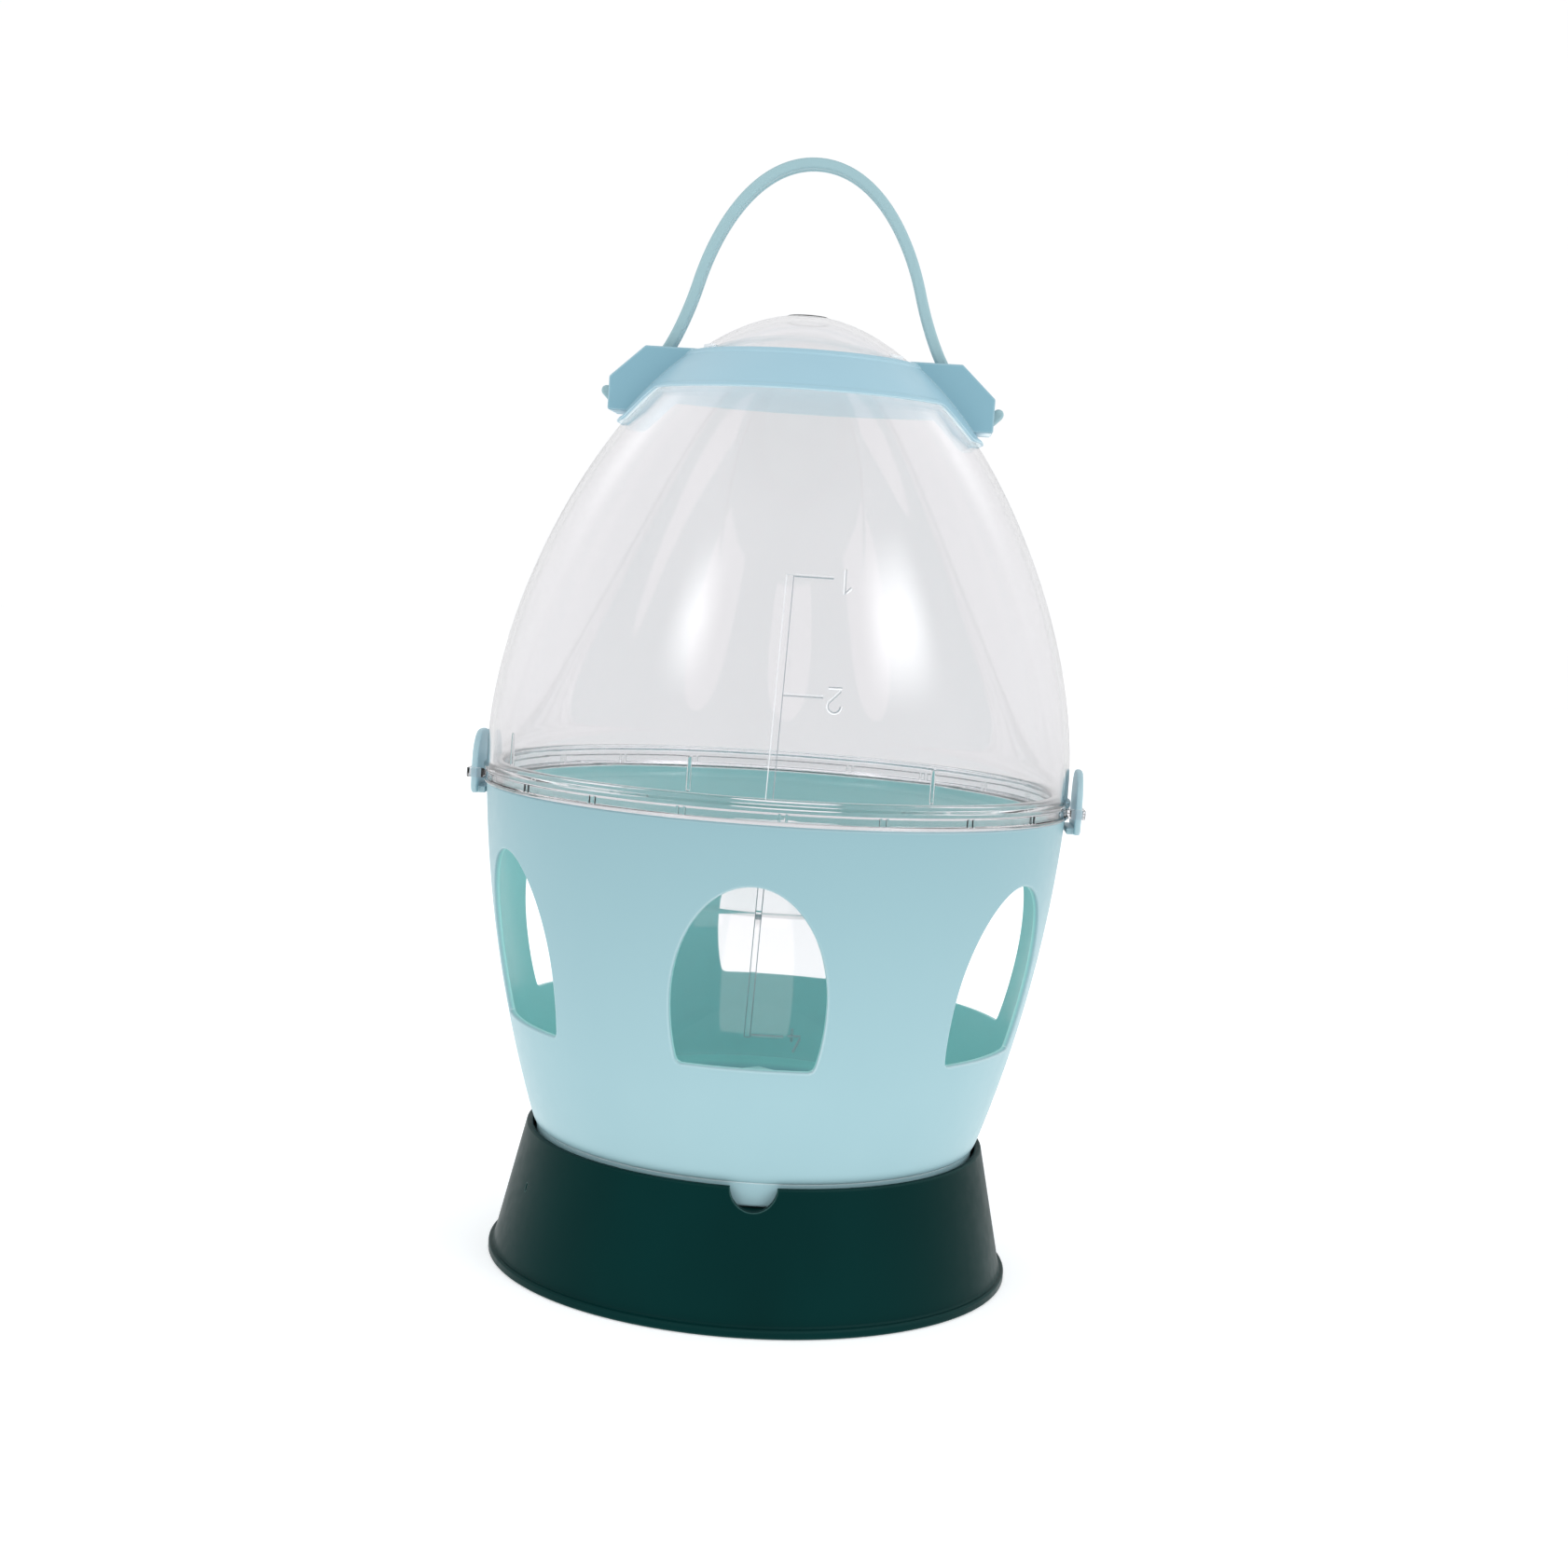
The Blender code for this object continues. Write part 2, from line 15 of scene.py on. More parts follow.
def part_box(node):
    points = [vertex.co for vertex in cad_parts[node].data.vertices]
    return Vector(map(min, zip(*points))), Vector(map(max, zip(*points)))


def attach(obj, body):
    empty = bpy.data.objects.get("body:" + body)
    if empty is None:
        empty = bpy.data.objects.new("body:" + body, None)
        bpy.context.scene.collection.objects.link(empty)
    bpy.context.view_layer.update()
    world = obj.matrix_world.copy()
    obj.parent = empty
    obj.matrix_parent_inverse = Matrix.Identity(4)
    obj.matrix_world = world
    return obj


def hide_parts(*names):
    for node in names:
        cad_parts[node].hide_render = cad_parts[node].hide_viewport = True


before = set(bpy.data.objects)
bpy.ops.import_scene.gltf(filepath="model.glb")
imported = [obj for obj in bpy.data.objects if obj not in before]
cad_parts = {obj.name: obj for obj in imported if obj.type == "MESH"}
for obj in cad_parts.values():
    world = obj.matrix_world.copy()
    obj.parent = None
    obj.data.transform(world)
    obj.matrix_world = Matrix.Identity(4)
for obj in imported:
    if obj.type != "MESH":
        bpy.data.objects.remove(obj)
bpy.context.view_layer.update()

MM = 0.001
SMOOTH_ANGLE = math.radians(38)  # edges flatter than this are shaded smooth
ROUND_STEPS = 5  # facets along a rounded edge
COLUMNS = 240  # around each turned piece
ROW = 5 * MM  # longest face up a turned piece
SAME_PLACE = 0.002 * MM  # points closer than this are joined

# ---- sizes taken from the frame ----
BASE_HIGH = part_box("base_ring")[1]
BOWL_LOW, BOWL_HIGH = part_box("feed_bowl")
DOME_LOW, DOME_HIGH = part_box("tank_dome")
HOPPER_LOW, HOPPER_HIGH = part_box("tank_hopper")
COLLAR_LOW, COLLAR_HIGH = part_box("carry_collar")
STRAP_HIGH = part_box("handle_strap")[1]
LATCH_LOW, LATCH_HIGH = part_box("right_latch")

BASE_TOP = BASE_HIGH.z
BASE_LIP_RADIUS = BASE_HIGH.x
BASE_FOOT_RADIUS = BASE_LIP_RADIUS - 1.7 * MM
BASE_TOP_RADIUS = BASE_LIP_RADIUS - 11 * MM
BASE_LIP_HEIGHT = 3 * MM
BASE_WALL = 2.3 * MM
BASE_TURN = math.radians(3.7)  # the base is a push fit and sits slightly turned
LEDGE_TOP = BOWL_LOW.z - 0.3 * MM
LEDGE_RADIUS = 70 * MM
LEDGE_THICKNESS = 2 * MM
NOTCH_RADIUS = 7.5 * MM
SLIT_SIZE = (1.2 * MM, 2.6 * MM)
SLIT_BOTTOM = 27 * MM
SLIT_TURN = math.radians(-62)

BOWL_RIM = BOWL_HIGH.z
BOWL_RIM_RADIUS = BOWL_HIGH.x
BOWL_WALL = 2.2 * MM
BOWL_FOOT_RADIUS = 77.6 * MM
BOWL_FOOT_TOP = 49 * MM
BOWL_FOOT_LOW = BASE_TOP + 0.8 * MM  # leaves the shadow line above the base
PLUG_RADIUS = 75.6 * MM
FLOOR_TOP = BOWL_LOW.z + BOWL_WALL
CONE_FOOT_RADIUS = 52 * MM
CONE_TIP_RADIUS = 17 * MM
CONE_TOP = 67 * MM
CONE_TIP_DROP = 5 * MM

WINDOWS = 6
WINDOW_SILL = 84.3 * MM
WINDOW_MIDDLE = 106 * MM
WINDOW_TOP = 142.8 * MM
WINDOW_HALF_WIDTH = 24.6 * MM
WINDOW_DROP = 45 * MM  # height of the lower half-ellipse, which the sill cuts off
WINDOW_CORNER = 1.6 * MM
WINDOW_ROUND = 0.55 * MM  # rounding of the windows' edges
WINDOW_FIELD = (74 * MM, 152 * MM)  # the band of wall that holds the windows

LATCH_THICKNESS = 2.2 * MM
LATCH_FOOT_HEIGHT = 2.4 * MM
LATCH_CORNER = 3 * MM
LATCH_CROWN = 10 * MM

FLANGE_BOTTOM = DOME_LOW.z
FLANGE_RADIUS = DOME_HIGH.y
FLANGE_TOP = FLANGE_BOTTOM + 4.7 * MM
FLANGE_SHOULDER = 1.5 * MM
TANK_TOP = DOME_HIGH.z
TANK_WALL = 2 * MM
TANK_RADIUS = FLANGE_RADIUS - 0.5 * MM
DOME_START = 176 * MM
DOME_SIDE = (98.3 * MM, 235.3 * MM)
DOME_CROWN = 51.6 * MM

HOPPER_SEAM = HOPPER_HIGH.x
HOPPER_TOP = HOPPER_HIGH.z
HOPPER_RADIUS = 96 * MM
HOPPER_START = 158 * MM
NECK_RADIUS = 60 * MM
NECK_TOP = 129 * MM
NECK_RIM = HOPPER_LOW.z

LINE_WIDTH = 0.9 * MM  # of the scale's raised lines
LINE_FLANK = 0.3 * MM  # width of a line's sloping side
LINE_STEP = 0.1 * MM  # its upright foot
LINE_SINK = 0.25 * MM  # how far it starts inside the wall
DIGIT_HEIGHT = 7.5 * MM
SCALE_TICKS = (237.6 * MM, 201.8 * MM)
NECK_TICK = 89.9 * MM
SCALE_LEAN = 0.0279
SCALE_TURN = math.radians(2.9)
LOCATING_RIBS = 4
FLANGE_MARKS = 20
BEAD = 0.5 * MM  # how far the flange's beads stand proud
GATE_RADIUS = 6.5 * MM

KEEPER_END = DOME_HIGH.x
KEEPER_TOP = FLANGE_BOTTOM + 3.2 * MM
KEEPER_HALF_WIDTH = 15.5 * MM
KEEPER_SKIN = 0.7 * MM
SLOT_INNER = 100.3 * MM
SLOT_HALF_WIDTH = 13.2 * MM

COLLAR_WALL = 1.8 * MM
COLLAR_GAP = 0.3 * MM
COLLAR_TOP = COLLAR_HIGH.z - 0.6 * MM
COLLAR_BOTTOM = COLLAR_TOP - 14.2 * MM
SKIRT_BOTTOM = COLLAR_LOW.z
SKIRT_HALF_ANGLE = math.radians(23)
SKIRT_BLEND = math.radians(9)
LUG_ANGLES = (28, 152, 208, 332)  # degrees from +X
LUG_SIZE = (2.6 * MM, 7 * MM, 1.2 * MM)
COLLAR_COLUMNS = 288
COLLAR_EDGE = 2.2 * MM  # keeps its shape along the band's top and bottom

EAR_END = COLLAR_HIGH.x
EAR_TOP = COLLAR_HIGH.z
EAR_TOP_END = EAR_END - 11.6 * MM
EAR_CHAMFER_END = EAR_TOP - 10.8 * MM
EAR_BOTTOM = EAR_TOP - 22 * MM
EAR_FLOOR = 1.3 * MM
EAR_HALF_DEPTH = 11 * MM
EAR_PLATE = 2 * MM
PIN_RADIUS = 1.5 * MM
PIN_X = EAR_END - 3.2 * MM
PIN_Z = 297.3 * MM

STRAP_THICKNESS = 3.6 * MM
STRAP_HALF_WIDTH = STRAP_HIGH.y
STRAP_APEX = STRAP_HIGH.z - STRAP_THICKNESS / 2
STRAP_SHOULDER = (37.6 * MM, 334 * MM)
STRAP_CROWN = 19.5 * MM
STRAP_LEAN = 0.27
STRAP_LEG = 18 * MM
STRAP_LEG_ANGLE = math.radians(35)
HOOK_RADIUS = 4.4 * MM
HOOK_TIP = 4.2 * MM
HOOK_END_ANGLE = math.radians(315)


# ---- outlines ----
def bezier(points, steps):
    """Points along a quadratic or cubic curve, both ends included."""
    degree = len(points) - 1
    curve = []
    for step in range(steps + 1):
        t = step / steps
        weights = []
        for k in range(degree + 1):
            weights.append(math.comb(degree, k) * t ** k * (1 - t) ** (degree - k))
        x = sum(w * p[0] for w, p in zip(weights, points))
        y = sum(w * p[1] for w, p in zip(weights, points))
        curve.append((x, y))
    return curve


def directions(path):
    """The unit direction of travel at each point of a path."""
    found = []
    for index in range(len(path)):
        before = path[max(index - 1, 0)]
        after = path[min(index + 1, len(path) - 1)]
        dx = after[0] - before[0]
        dy = after[1] - before[1]
        length = math.hypot(dx, dy)
        found.append((dx / length, dy / length))
    return found


def offset_curve(curve, distance):
    """The same curve moved to its left-hand side by distance."""
    moved = []
    for (x, y), (dx, dy) in zip(curve, directions(curve)):
        moved.append((x - dy * distance, y + dx * distance))
    return moved


def finer(path, step):
    """The same line with points no further apart than step."""
    dense = [path[0]]
    for start, end in zip(path, path[1:]):
        dx = end[0] - start[0]
        dy = end[1] - start[1]
        count = max(1, math.ceil(math.hypot(dx, dy) / step))
        for index in range(1, count + 1):
            share = index / count
            dense.append((start[0] + dx * share, start[1] + dy * share))
    return dense


def rounded(corners, closed=True):
    """An outline from (x, y, radius) corners; a radius above 0 rounds that corner."""
    outline = []
    count = len(corners)
    for index, (x, y, radius) in enumerate(corners):
        at_end = not closed and index in (0, count - 1)
        if radius <= 0 or at_end:
            outline.append((x, y))
            continue
        here = Vector((x, y))
        before = (Vector(corners[index - 1][:2]) - here).normalized()
        after = (Vector(corners[(index + 1) % count][:2]) - here).normalized()
        half = before.angle(after) / 2
        reach = radius / math.tan(half)
        centre = here + (before + after).normalized() * (radius / math.sin(half))
        start = here + before * reach - centre
        end = here + after * reach - centre
        turn = start.angle_signed(end)
        for step in range(ROUND_STEPS + 1):
            spoke = start.copy()
            spoke.rotate(Matrix.Rotation(-turn * step / ROUND_STEPS, 2))
            outline.append(tuple(centre + spoke))
    return outline


class Shell:
    """A turned surface from a curve of (radius, z) points whose z only rises or only falls."""

    def __init__(self, curve):
        points = sorted(curve, key=lambda point: point[1])
        self.z = np.array([point[1] for point in points])
        self.r = np.array([point[0] for point in points])
        self.slope = np.gradient(self.r, self.z)

    def radius(self, z):
        return float(np.interp(z, self.z, self.r))

    def point(self, angle, z, lift):
        """A point on the surface, or lift outside it; angle 0 is the front, at -Y."""
        slope = float(np.interp(z, self.z, self.slope))
        length = math.hypot(1, slope)
        radius = self.radius(z) + lift / length
        return (radius * math.sin(angle), -radius * math.cos(angle), z - lift * slope / length)


# ---- mesh tools ----
def mesh_object(name, bm):
    """An object made of a finished bmesh, with its faces turned outwards."""
    bmesh.ops.recalc_face_normals(bm, faces=bm.faces)
    mesh = bpy.data.meshes.new(name)
    bm.to_mesh(mesh)
    bm.free()
    item = bpy.data.objects.new(name, mesh)
    bpy.context.scene.collection.objects.link(item)
    return item


def evaluated(item):
    """The mesh that an object's modifiers make."""
    graph = bpy.context.evaluated_depsgraph_get()
    made = bpy.data.meshes.new_from_object(item.evaluated_get(graph))
    item.modifiers.clear()
    return made


def show(item, looks, body, node):
    """Give a finished mesh its looks and its place among the frame's bodies."""
    last = len(looks) - 1
    marks = [min(face.material_index, last) for face in item.data.polygons]
    item.data.materials.clear()
    for look in looks:
        item.data.materials.append(look)
    item.data.polygons.foreach_set("material_index", marks)
    item.data.shade_smooth()
    item.data.set_sharp_from_angle(angle=SMOOTH_ANGLE)
    flatten = item.modifiers.new("even_normals", "WEIGHTED_NORMAL")
    flatten.keep_sharp = True
    flatten.weight = 70
    item.data = evaluated(item)
    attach(item, body)
    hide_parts(node)


def join_round(bm, lines, rows):
    """Faces between neighbouring upright lines all the way round, but none along the axis."""
    for here, there in zip(lines, lines[1:] + lines[:1]):
        for index in range(rows):
            following = (index + 1) % len(here)
            if here[index].co.xy.length > 0 or here[following].co.xy.length > 0:
                bm.faces.new((here[index], there[index], there[following], here[following]))


def join_loops(bm, first, second):
    """A ring of faces between two closed loops of vertices."""
    faces = []
    for index in range(len(first)):
        following = (index + 1) % len(first)
        corners = (first[index], first[following], second[following], second[index])
        faces.append(bm.faces.new(corners))
    return faces


def turned(outline, closed=True, bm=None):
    """Turn (radius, z) points around Z. Points on the axis close the shape by themselves."""
    bm = bm or bmesh.new()
    lines = []
    for column in range(COLUMNS):
        angle = 2 * math.pi * column / COLUMNS
        across = math.sin(angle)
        along = -math.cos(angle)
        lines.append([bm.verts.new((r * across, r * along, z)) for r, z in outline])
    join_round(bm, lines, len(outline) if closed else len(outline) - 1)
    return bm


def sweep(path, section, ends):
    """Sweep a closed section of (across, y) points along (x, z) points, with domed ends."""
    cut_off = 0.35  # of a row: each dome ends this far before its tip, in one flat face
    tip_width = 0.75  # share of the width that is left at the tip
    bm = bmesh.new()
    stations = [(point, (-dz, dx), 1.0) for point, (dx, dz) in zip(path, directions(path))]
    reach = max(abs(across) for across, y in section)
    for at_start in (True, False):
        point, normal, scale = stations[0] if at_start else stations[-1]
        sign = -1 if at_start else 1
        forward = (normal[1] * sign, -normal[0] * sign)
        for step in range(1, ends + 1):
            angle = math.pi / 2 * step / (ends + cut_off)
            far = reach * math.sin(angle)
            place = (point[0] + forward[0] * far, point[1] + forward[1] * far)
            tip = (place, normal, math.cos(angle))
            if at_start:
                stations.insert(0, tip)
            else:
                stations.append(tip)
    rings = []
    for (x, z), normal, scale in stations:
        width = (1 - tip_width) * scale + tip_width
        ring = []
        for t, y in section:
            ring.append(bm.verts.new((x + normal[0] * t * scale, y * width, z + normal[1] * t * scale)))
        rings.append(ring)
    for first, second in zip(rings, rings[1:]):
        join_loops(bm, first, second)
    bm.faces.new(rings[0])
    bm.faces.new(rings[-1])
    return bm


def round_edges(bm, edges, radius, segments):
    """Round edges of a shape; a radius of 0 leaves them sharp."""
    if radius > 0:
        bmesh.ops.bevel(bm, geom=edges, offset=radius, segments=segments, profile=0.5,
                        affect="EDGES", clamp_overlap=True)


def rounded_box(low, high, radius):
    bm = bmesh.new()
    bmesh.ops.create_cube(bm, size=1)
    for vert in bm.verts:
        for axis in range(3):
            vert.co[axis] = high[axis] if vert.co[axis] > 0 else low[axis]
    round_edges(bm, bm.edges[:], radius, 3)
    return bm


def plate(outline, low, high, radius, axis="Y", segments=3):
    """A flat plate with an outline of (x, z) points, or (y, z) for axis X, and rounded edges."""
    bm = bmesh.new()
    face = bm.faces.new([bm.verts.new((x, low, z)) for x, z in outline])
    grown = bmesh.ops.extrude_face_region(bm, geom=[face])["geom"]
    moved = [item for item in grown if isinstance(item, bmesh.types.BMVert)]
    bmesh.ops.translate(bm, verts=moved, vec=(0, high - low, 0))
    bmesh.ops.recalc_face_normals(bm, faces=bm.faces)
    middle = (low + high) / 2
    caps = [edge for edge in bm.edges if (edge.verts[0].co.y < middle) == (edge.verts[1].co.y < middle)]
    round_edges(bm, caps, radius, segments)
    if axis == "X":
        for vert in bm.verts:
            vert.co.x, vert.co.y = vert.co.y, vert.co.x
    return bm


def cylinder_y(radius, x, z, low, high, sides=32):
    """A cylinder along Y, around the point (x, z)."""
    angles = [2 * math.pi * side / sides for side in range(sides)]
    outline = [(x + radius * math.cos(angle), z + radius * math.sin(angle)) for angle in angles]
    return plate(outline, low, high, 0)


def spin(bm, angle):
    """Turn a shape around the Z axis."""
    bmesh.ops.rotate(bm, verts=bm.verts, cent=(0, 0, 0), matrix=Matrix.Rotation(angle, 3, "Z"))
    return bm


def marked(bm, look):
    """Mark every face of a shape for one of its piece's looks."""
    for face in bm.faces:
        face.material_index = look
    return bm


def gathered(name, shapes):
    """One object that holds every shape."""
    together = bmesh.new()
    for bm in shapes:
        bmesh.ops.recalc_face_normals(bm, faces=bm.faces)
        part = bpy.data.meshes.new("part")
        bm.to_mesh(part)
        bm.free()
        together.from_mesh(part)
        bpy.data.meshes.remove(part)
    return mesh_object(name, together)


def carve(item, tool, operation, touching):
    """Apply one object to another. touching is for tools whose own shapes touch each other."""
    modifier = item.modifiers.new("combine", "BOOLEAN")
    modifier.operation = operation
    modifier.solver = "EXACT"
    modifier.object = tool
    modifier.use_self = touching
    item.data = evaluated(item)
    bpy.data.objects.remove(tool, do_unlink=True)


def combine(item, shapes, operation):
    """Join shapes to an object, or cut them out of it.

    Shapes that touch are joined to each other first, so that the last step gets clean solids.
    """
    tool = gathered("tool", shapes[:1])
    if shapes[1:]:
        carve(tool, gathered("rest", shapes[1:]), "UNION", True)
    carve(item, tool, operation, False)


def raised_line(place, path, width, height):
    """A raised line on a surface. place(sideways, up, lift) gives a point in space.

    Its two flanks and its flat top are marked for three looks; the flanks' looks carry painted highlight
    and painted shade.
    """
    half = width / 2
    flat = half - LINE_FLANK
    section = [(-half, -LINE_SINK), (-half, LINE_STEP), (-flat, height),
               (flat, height), (half, LINE_STEP), (half, -LINE_SINK)]
    # look 1 is one flank, look 2 the other flank and the foot; they carry painted highlight and painted
    # shade
    looks = [1, 1, 0, 2, 2, 2]
    bm = bmesh.new()
    rings = []
    for (s, z), (ds, dz) in zip(path, directions(path)):
        rings.append([bm.verts.new(place(s + dz * a, z - ds * a, lift)) for a, lift in section])
    for first, second in zip(rings, rings[1:]):
        for face, look in zip(join_loops(bm, first, second), looks):
            face.material_index = look
    for ring in (rings[0], rings[-1]):
        bm.faces.new(ring).material_index = 1
    return bm


# ---- plastics ----
PLASTIC_IOR = 1.49
COOL_WHITE = (0.985, 0.99, 1.0, 1)


def srgb(red, green, blue):
    """A colour given as 0-255 display values, as the linear values that nodes hold."""
    channels = []
    for value in (red, green, blue):
        share = value / 255
        channels.append(share / 12.92 if share <= 0.04045 else ((share + 0.055) / 1.055) ** 2.4)
    return (*channels, 1.0)


class Nodes:
    """Short names for adding and linking shader nodes."""

    def __init__(self, tree):
        self.tree = tree
        tree.nodes.clear()

    def add(self, kind, inputs=None, **settings):
        node = self.tree.nodes.new("ShaderNode" + kind)
        for name, value in settings.items():
            setattr(node, name, value)
        for name, value in (inputs or {}).items():
            self.feed(node.inputs[name], value)
        return node

    def feed(self, socket, value):
        if isinstance(value, bpy.types.NodeSocket):
            self.tree.links.new(value, socket)
        else:
            socket.default_value = value

    def math(self, operation, *values):
        node = self.add("Math", operation=operation)
        for socket, value in zip(node.inputs, values):
            self.feed(socket, value)
        return node.outputs[0]

    def noise(self, scale, detail, stretch=(1, 1, 1), roughness=0.5):
        place = self.add("TexCoord")
        mapping = self.add("Mapping", {"Vector": place.outputs["Object"], "Scale": stretch})
        noise = self.add("TexNoise", {
            "Vector": mapping.outputs[0], "Scale": scale, "Detail": detail, "Roughness": roughness})
        return noise.outputs["Fac"]

    def remap(self, value, low, high, from_low=0.3, from_high=0.7, kind="LINEAR"):
        """Stretch a value's range; noise stays mostly between 0.3 and 0.7."""
        node = self.add("MapRange", {
            "Value": value, "From Min": from_low, "From Max": from_high, "To Min": low, "To Max": high},
            interpolation_type=kind)
        return node.outputs[0]

    def add_up(self, first, second):
        """The sum of two shaders."""
        node = self.add("AddShader")
        self.feed(node.inputs[0], first.outputs[0])
        self.feed(node.inputs[1], second.outputs[0])
        return node

    def choose(self, share, first, second):
        """The first shader where share is 0 and the second where it is 1."""
        node = self.add("MixShader", {"Fac": share})
        self.feed(node.inputs[1], first.outputs[0])
        self.feed(node.inputs[2], second.outputs[0])
        return node

    def finish(self, shader, kind="OutputMaterial"):
        self.add(kind, {"Surface": shader.outputs[0]})

    def blend(self, share, first, second):
        node = self.add("Mix", data_type="RGBA")
        self.feed(node.inputs[0], share)
        self.feed(node.inputs[6], first)
        self.feed(node.inputs[7], second)
        return node.outputs[2]


def new_material(name):
    made = bpy.data.materials.new(name)
    made.use_nodes = True
    return made, Nodes(made.node_tree)


def edge_highlight_mask(nodes):
    """1 along sharp and small rounded edges, 0 on flat faces; it places the painted edge highlight."""
    soft = nodes.add("Bevel", {"Radius": 0.8 * MM}, samples=4)
    flat = nodes.add("NewGeometry")
    same = nodes.add("VectorMath", operation="DOT_PRODUCT")
    nodes.feed(same.inputs[0], soft.outputs[0])
    nodes.feed(same.inputs[1], flat.outputs["Normal"])
    return nodes.remap(same.outputs["Value"], 0.9, 0.0, 0.85, 0.99)


def moulded_plastic(name, colour, deep, edge, roughness=0.38, shine=0.4,
                    painted_top_shade=None, inner=None, through=0.0):
    """Moulded plastic: cloudy colour, faint orange peel, uneven gloss and a painted highlight along the
    edges.

    The colour drifts towards deep, and towards the bowl's rim it turns to the colour given for
    the top: painted shade. inner is a painted colour for the vertices marked as inside a hollow
    piece, and through is the strength of a painted glow in it, for light through the thin wall.
    """
    made, nodes = new_material(name)
    cloud = nodes.noise(22, 3.0, (1, 1, 0.5))
    peel = nodes.noise(240, 1.0)
    tint = nodes.blend(nodes.remap(cloud, 0.0, 0.6), colour, deep)
    # painted shade: the colour darkens up towards the bowl's rim, where less light falls
    if painted_top_shade is not None:
        place = nodes.add("TexCoord").outputs["Object"]
        height = nodes.add("SeparateXYZ", {"Vector": place}).outputs[2]
        tint = nodes.blend(nodes.remap(height, 0.0, 1.0, WINDOW_FIELD[0], BOWL_RIM), tint, painted_top_shade)
    # painted light: the inside of a hollow piece gets its own colour for the light there
    if inner is not None:
        inside = nodes.add("Attribute", attribute_name="inside").outputs["Fac"]
        tint = nodes.blend(inside, tint, inner)
    # painted highlight: the edge colour lightens edges, where real rounded edges would catch the light
    tint = nodes.blend(edge_highlight_mask(nodes), tint, edge)
    uneven = nodes.remap(cloud, roughness * 0.85, roughness * 1.15)
    gloss = nodes.math("ADD", uneven, nodes.remap(peel, -0.02, 0.03))
    bump = nodes.add("Bump", {"Strength": 0.4, "Distance": 0.003 * MM, "Height": peel})
    shader = nodes.add("BsdfPrincipled", {
        "Base Color": tint, "Roughness": gloss, "IOR": PLASTIC_IOR, "Normal": bump.outputs[0],
        "Specular IOR Level": shine})
    # painted glow: the inside shines in its painted colour, standing in for light coming through the
    # thin wall
    if inner is not None:
        made.cycles.emission_sampling = "NONE"
        nodes.feed(shader.inputs["Emission Color"], inner)
        nodes.feed(shader.inputs["Emission Strength"], nodes.math("MULTIPLY", inside, through))
    nodes.finish(shader)
    return made


def clear_plastic():
    """Clear moulded plastic with faint flow waves, fine scratches and a trace of haze.

    Shadow and diffuse rays pass straight through it, so that what is inside is lit.
    """
    haze = 0.02
    made, nodes = new_material("clear_plastic")
    waves = nodes.noise(34, 2.0, (1, 1, 0.35))
    scratches = nodes.noise(260, 4.0, (1, 1, 0.12), 0.65)
    peel = nodes.noise(500, 2.0)
    gloss = nodes.remap(scratches, haze * 0.4, haze * 1.8)
    height = nodes.math("ADD", waves, nodes.math("MULTIPLY", peel, 0.02))
    bump = nodes.add("Bump", {"Strength": 0.25, "Distance": 0.12 * MM, "Height": height})
    body = nodes.blend(nodes.remap(waves, 0.0, 0.4), srgb(246, 245, 246), srgb(241, 241, 242))
    glass = nodes.add("BsdfPrincipled", {
        "Base Color": body, "Roughness": gloss, "IOR": PLASTIC_IOR, "Transmission Weight": 1.0,
        "Normal": bump.outputs[0]})
    passing = nodes.add("BsdfTransparent", {"Color": srgb(244, 246, 248)})
    ray = nodes.add("LightPath").outputs
    light = nodes.math("MAXIMUM", ray["Is Shadow Ray"], ray["Is Diffuse Ray"])
    nodes.finish(nodes.choose(light, glass, passing))
    return made


def line_plastic(name, dark, light, clearness):
    """The steep sides of moulded lines, with a painted highlight on some and painted shade on others, so
    that they read as fine strokes.
    """
    made, nodes = new_material(name)
    grit = nodes.noise(2400, 2.0)
    shader = nodes.add("BsdfPrincipled", {
        "Base Color": nodes.blend(grit, dark, light), "Roughness": 0.3, "IOR": PLASTIC_IOR,
        "Transmission Weight": clearness})
    nodes.finish(shader)
    return made


def painted_highlight_lines():
    # painted highlight for the lit flanks of the scale's lines
    return line_plastic("clear_plastic_bright_lines", srgb(244, 247, 249), srgb(254, 254, 255), 0.1)


def painted_shade_lines():
    # painted shade for the shaded flanks of the scale's lines
    return line_plastic("clear_plastic_grey_lines", srgb(148, 156, 160), srgb(176, 184, 188), 0.3)


def teal_plastic():
    # the third colour is a painted edge highlight, the top colour is painted shade towards the rim, and
    # the inside colour with its glow is painted light on the bowl's inside
    return moulded_plastic("teal_plastic", srgb(157, 193, 200), srgb(151, 188, 196), srgb(246, 252, 253),
                           painted_top_shade=srgb(141, 178, 186), inner=srgb(156, 218, 213), through=0.06)


def teal_tab_plastic():
    # the third colour is a painted edge highlight
    return moulded_plastic("teal_tab_plastic", srgb(172, 201, 208), srgb(164, 194, 202),
                           srgb(214, 234, 238))


def light_blue_plastic():
    # the third colour is a painted edge highlight; the inside colour with its glow is painted light on
    # the band's inside, for light through the thin wall
    return moulded_plastic("light_blue_plastic", srgb(166, 202, 216), srgb(158, 196, 211),
                           srgb(214, 234, 239), inner=srgb(226, 233, 234), through=0.33)


def light_blue_ear_plastic():
    # the third colour is a painted edge highlight
    return moulded_plastic("light_blue_ear_plastic", srgb(134, 177, 191), srgb(128, 171, 186),
                           srgb(206, 228, 234))


def flexible_teal_plastic():
    # the third colour is a painted edge highlight
    return moulded_plastic("flexible_teal_plastic", srgb(158, 190, 196), srgb(150, 182, 189),
                           srgb(186, 212, 217), roughness=0.42, shine=0.3)


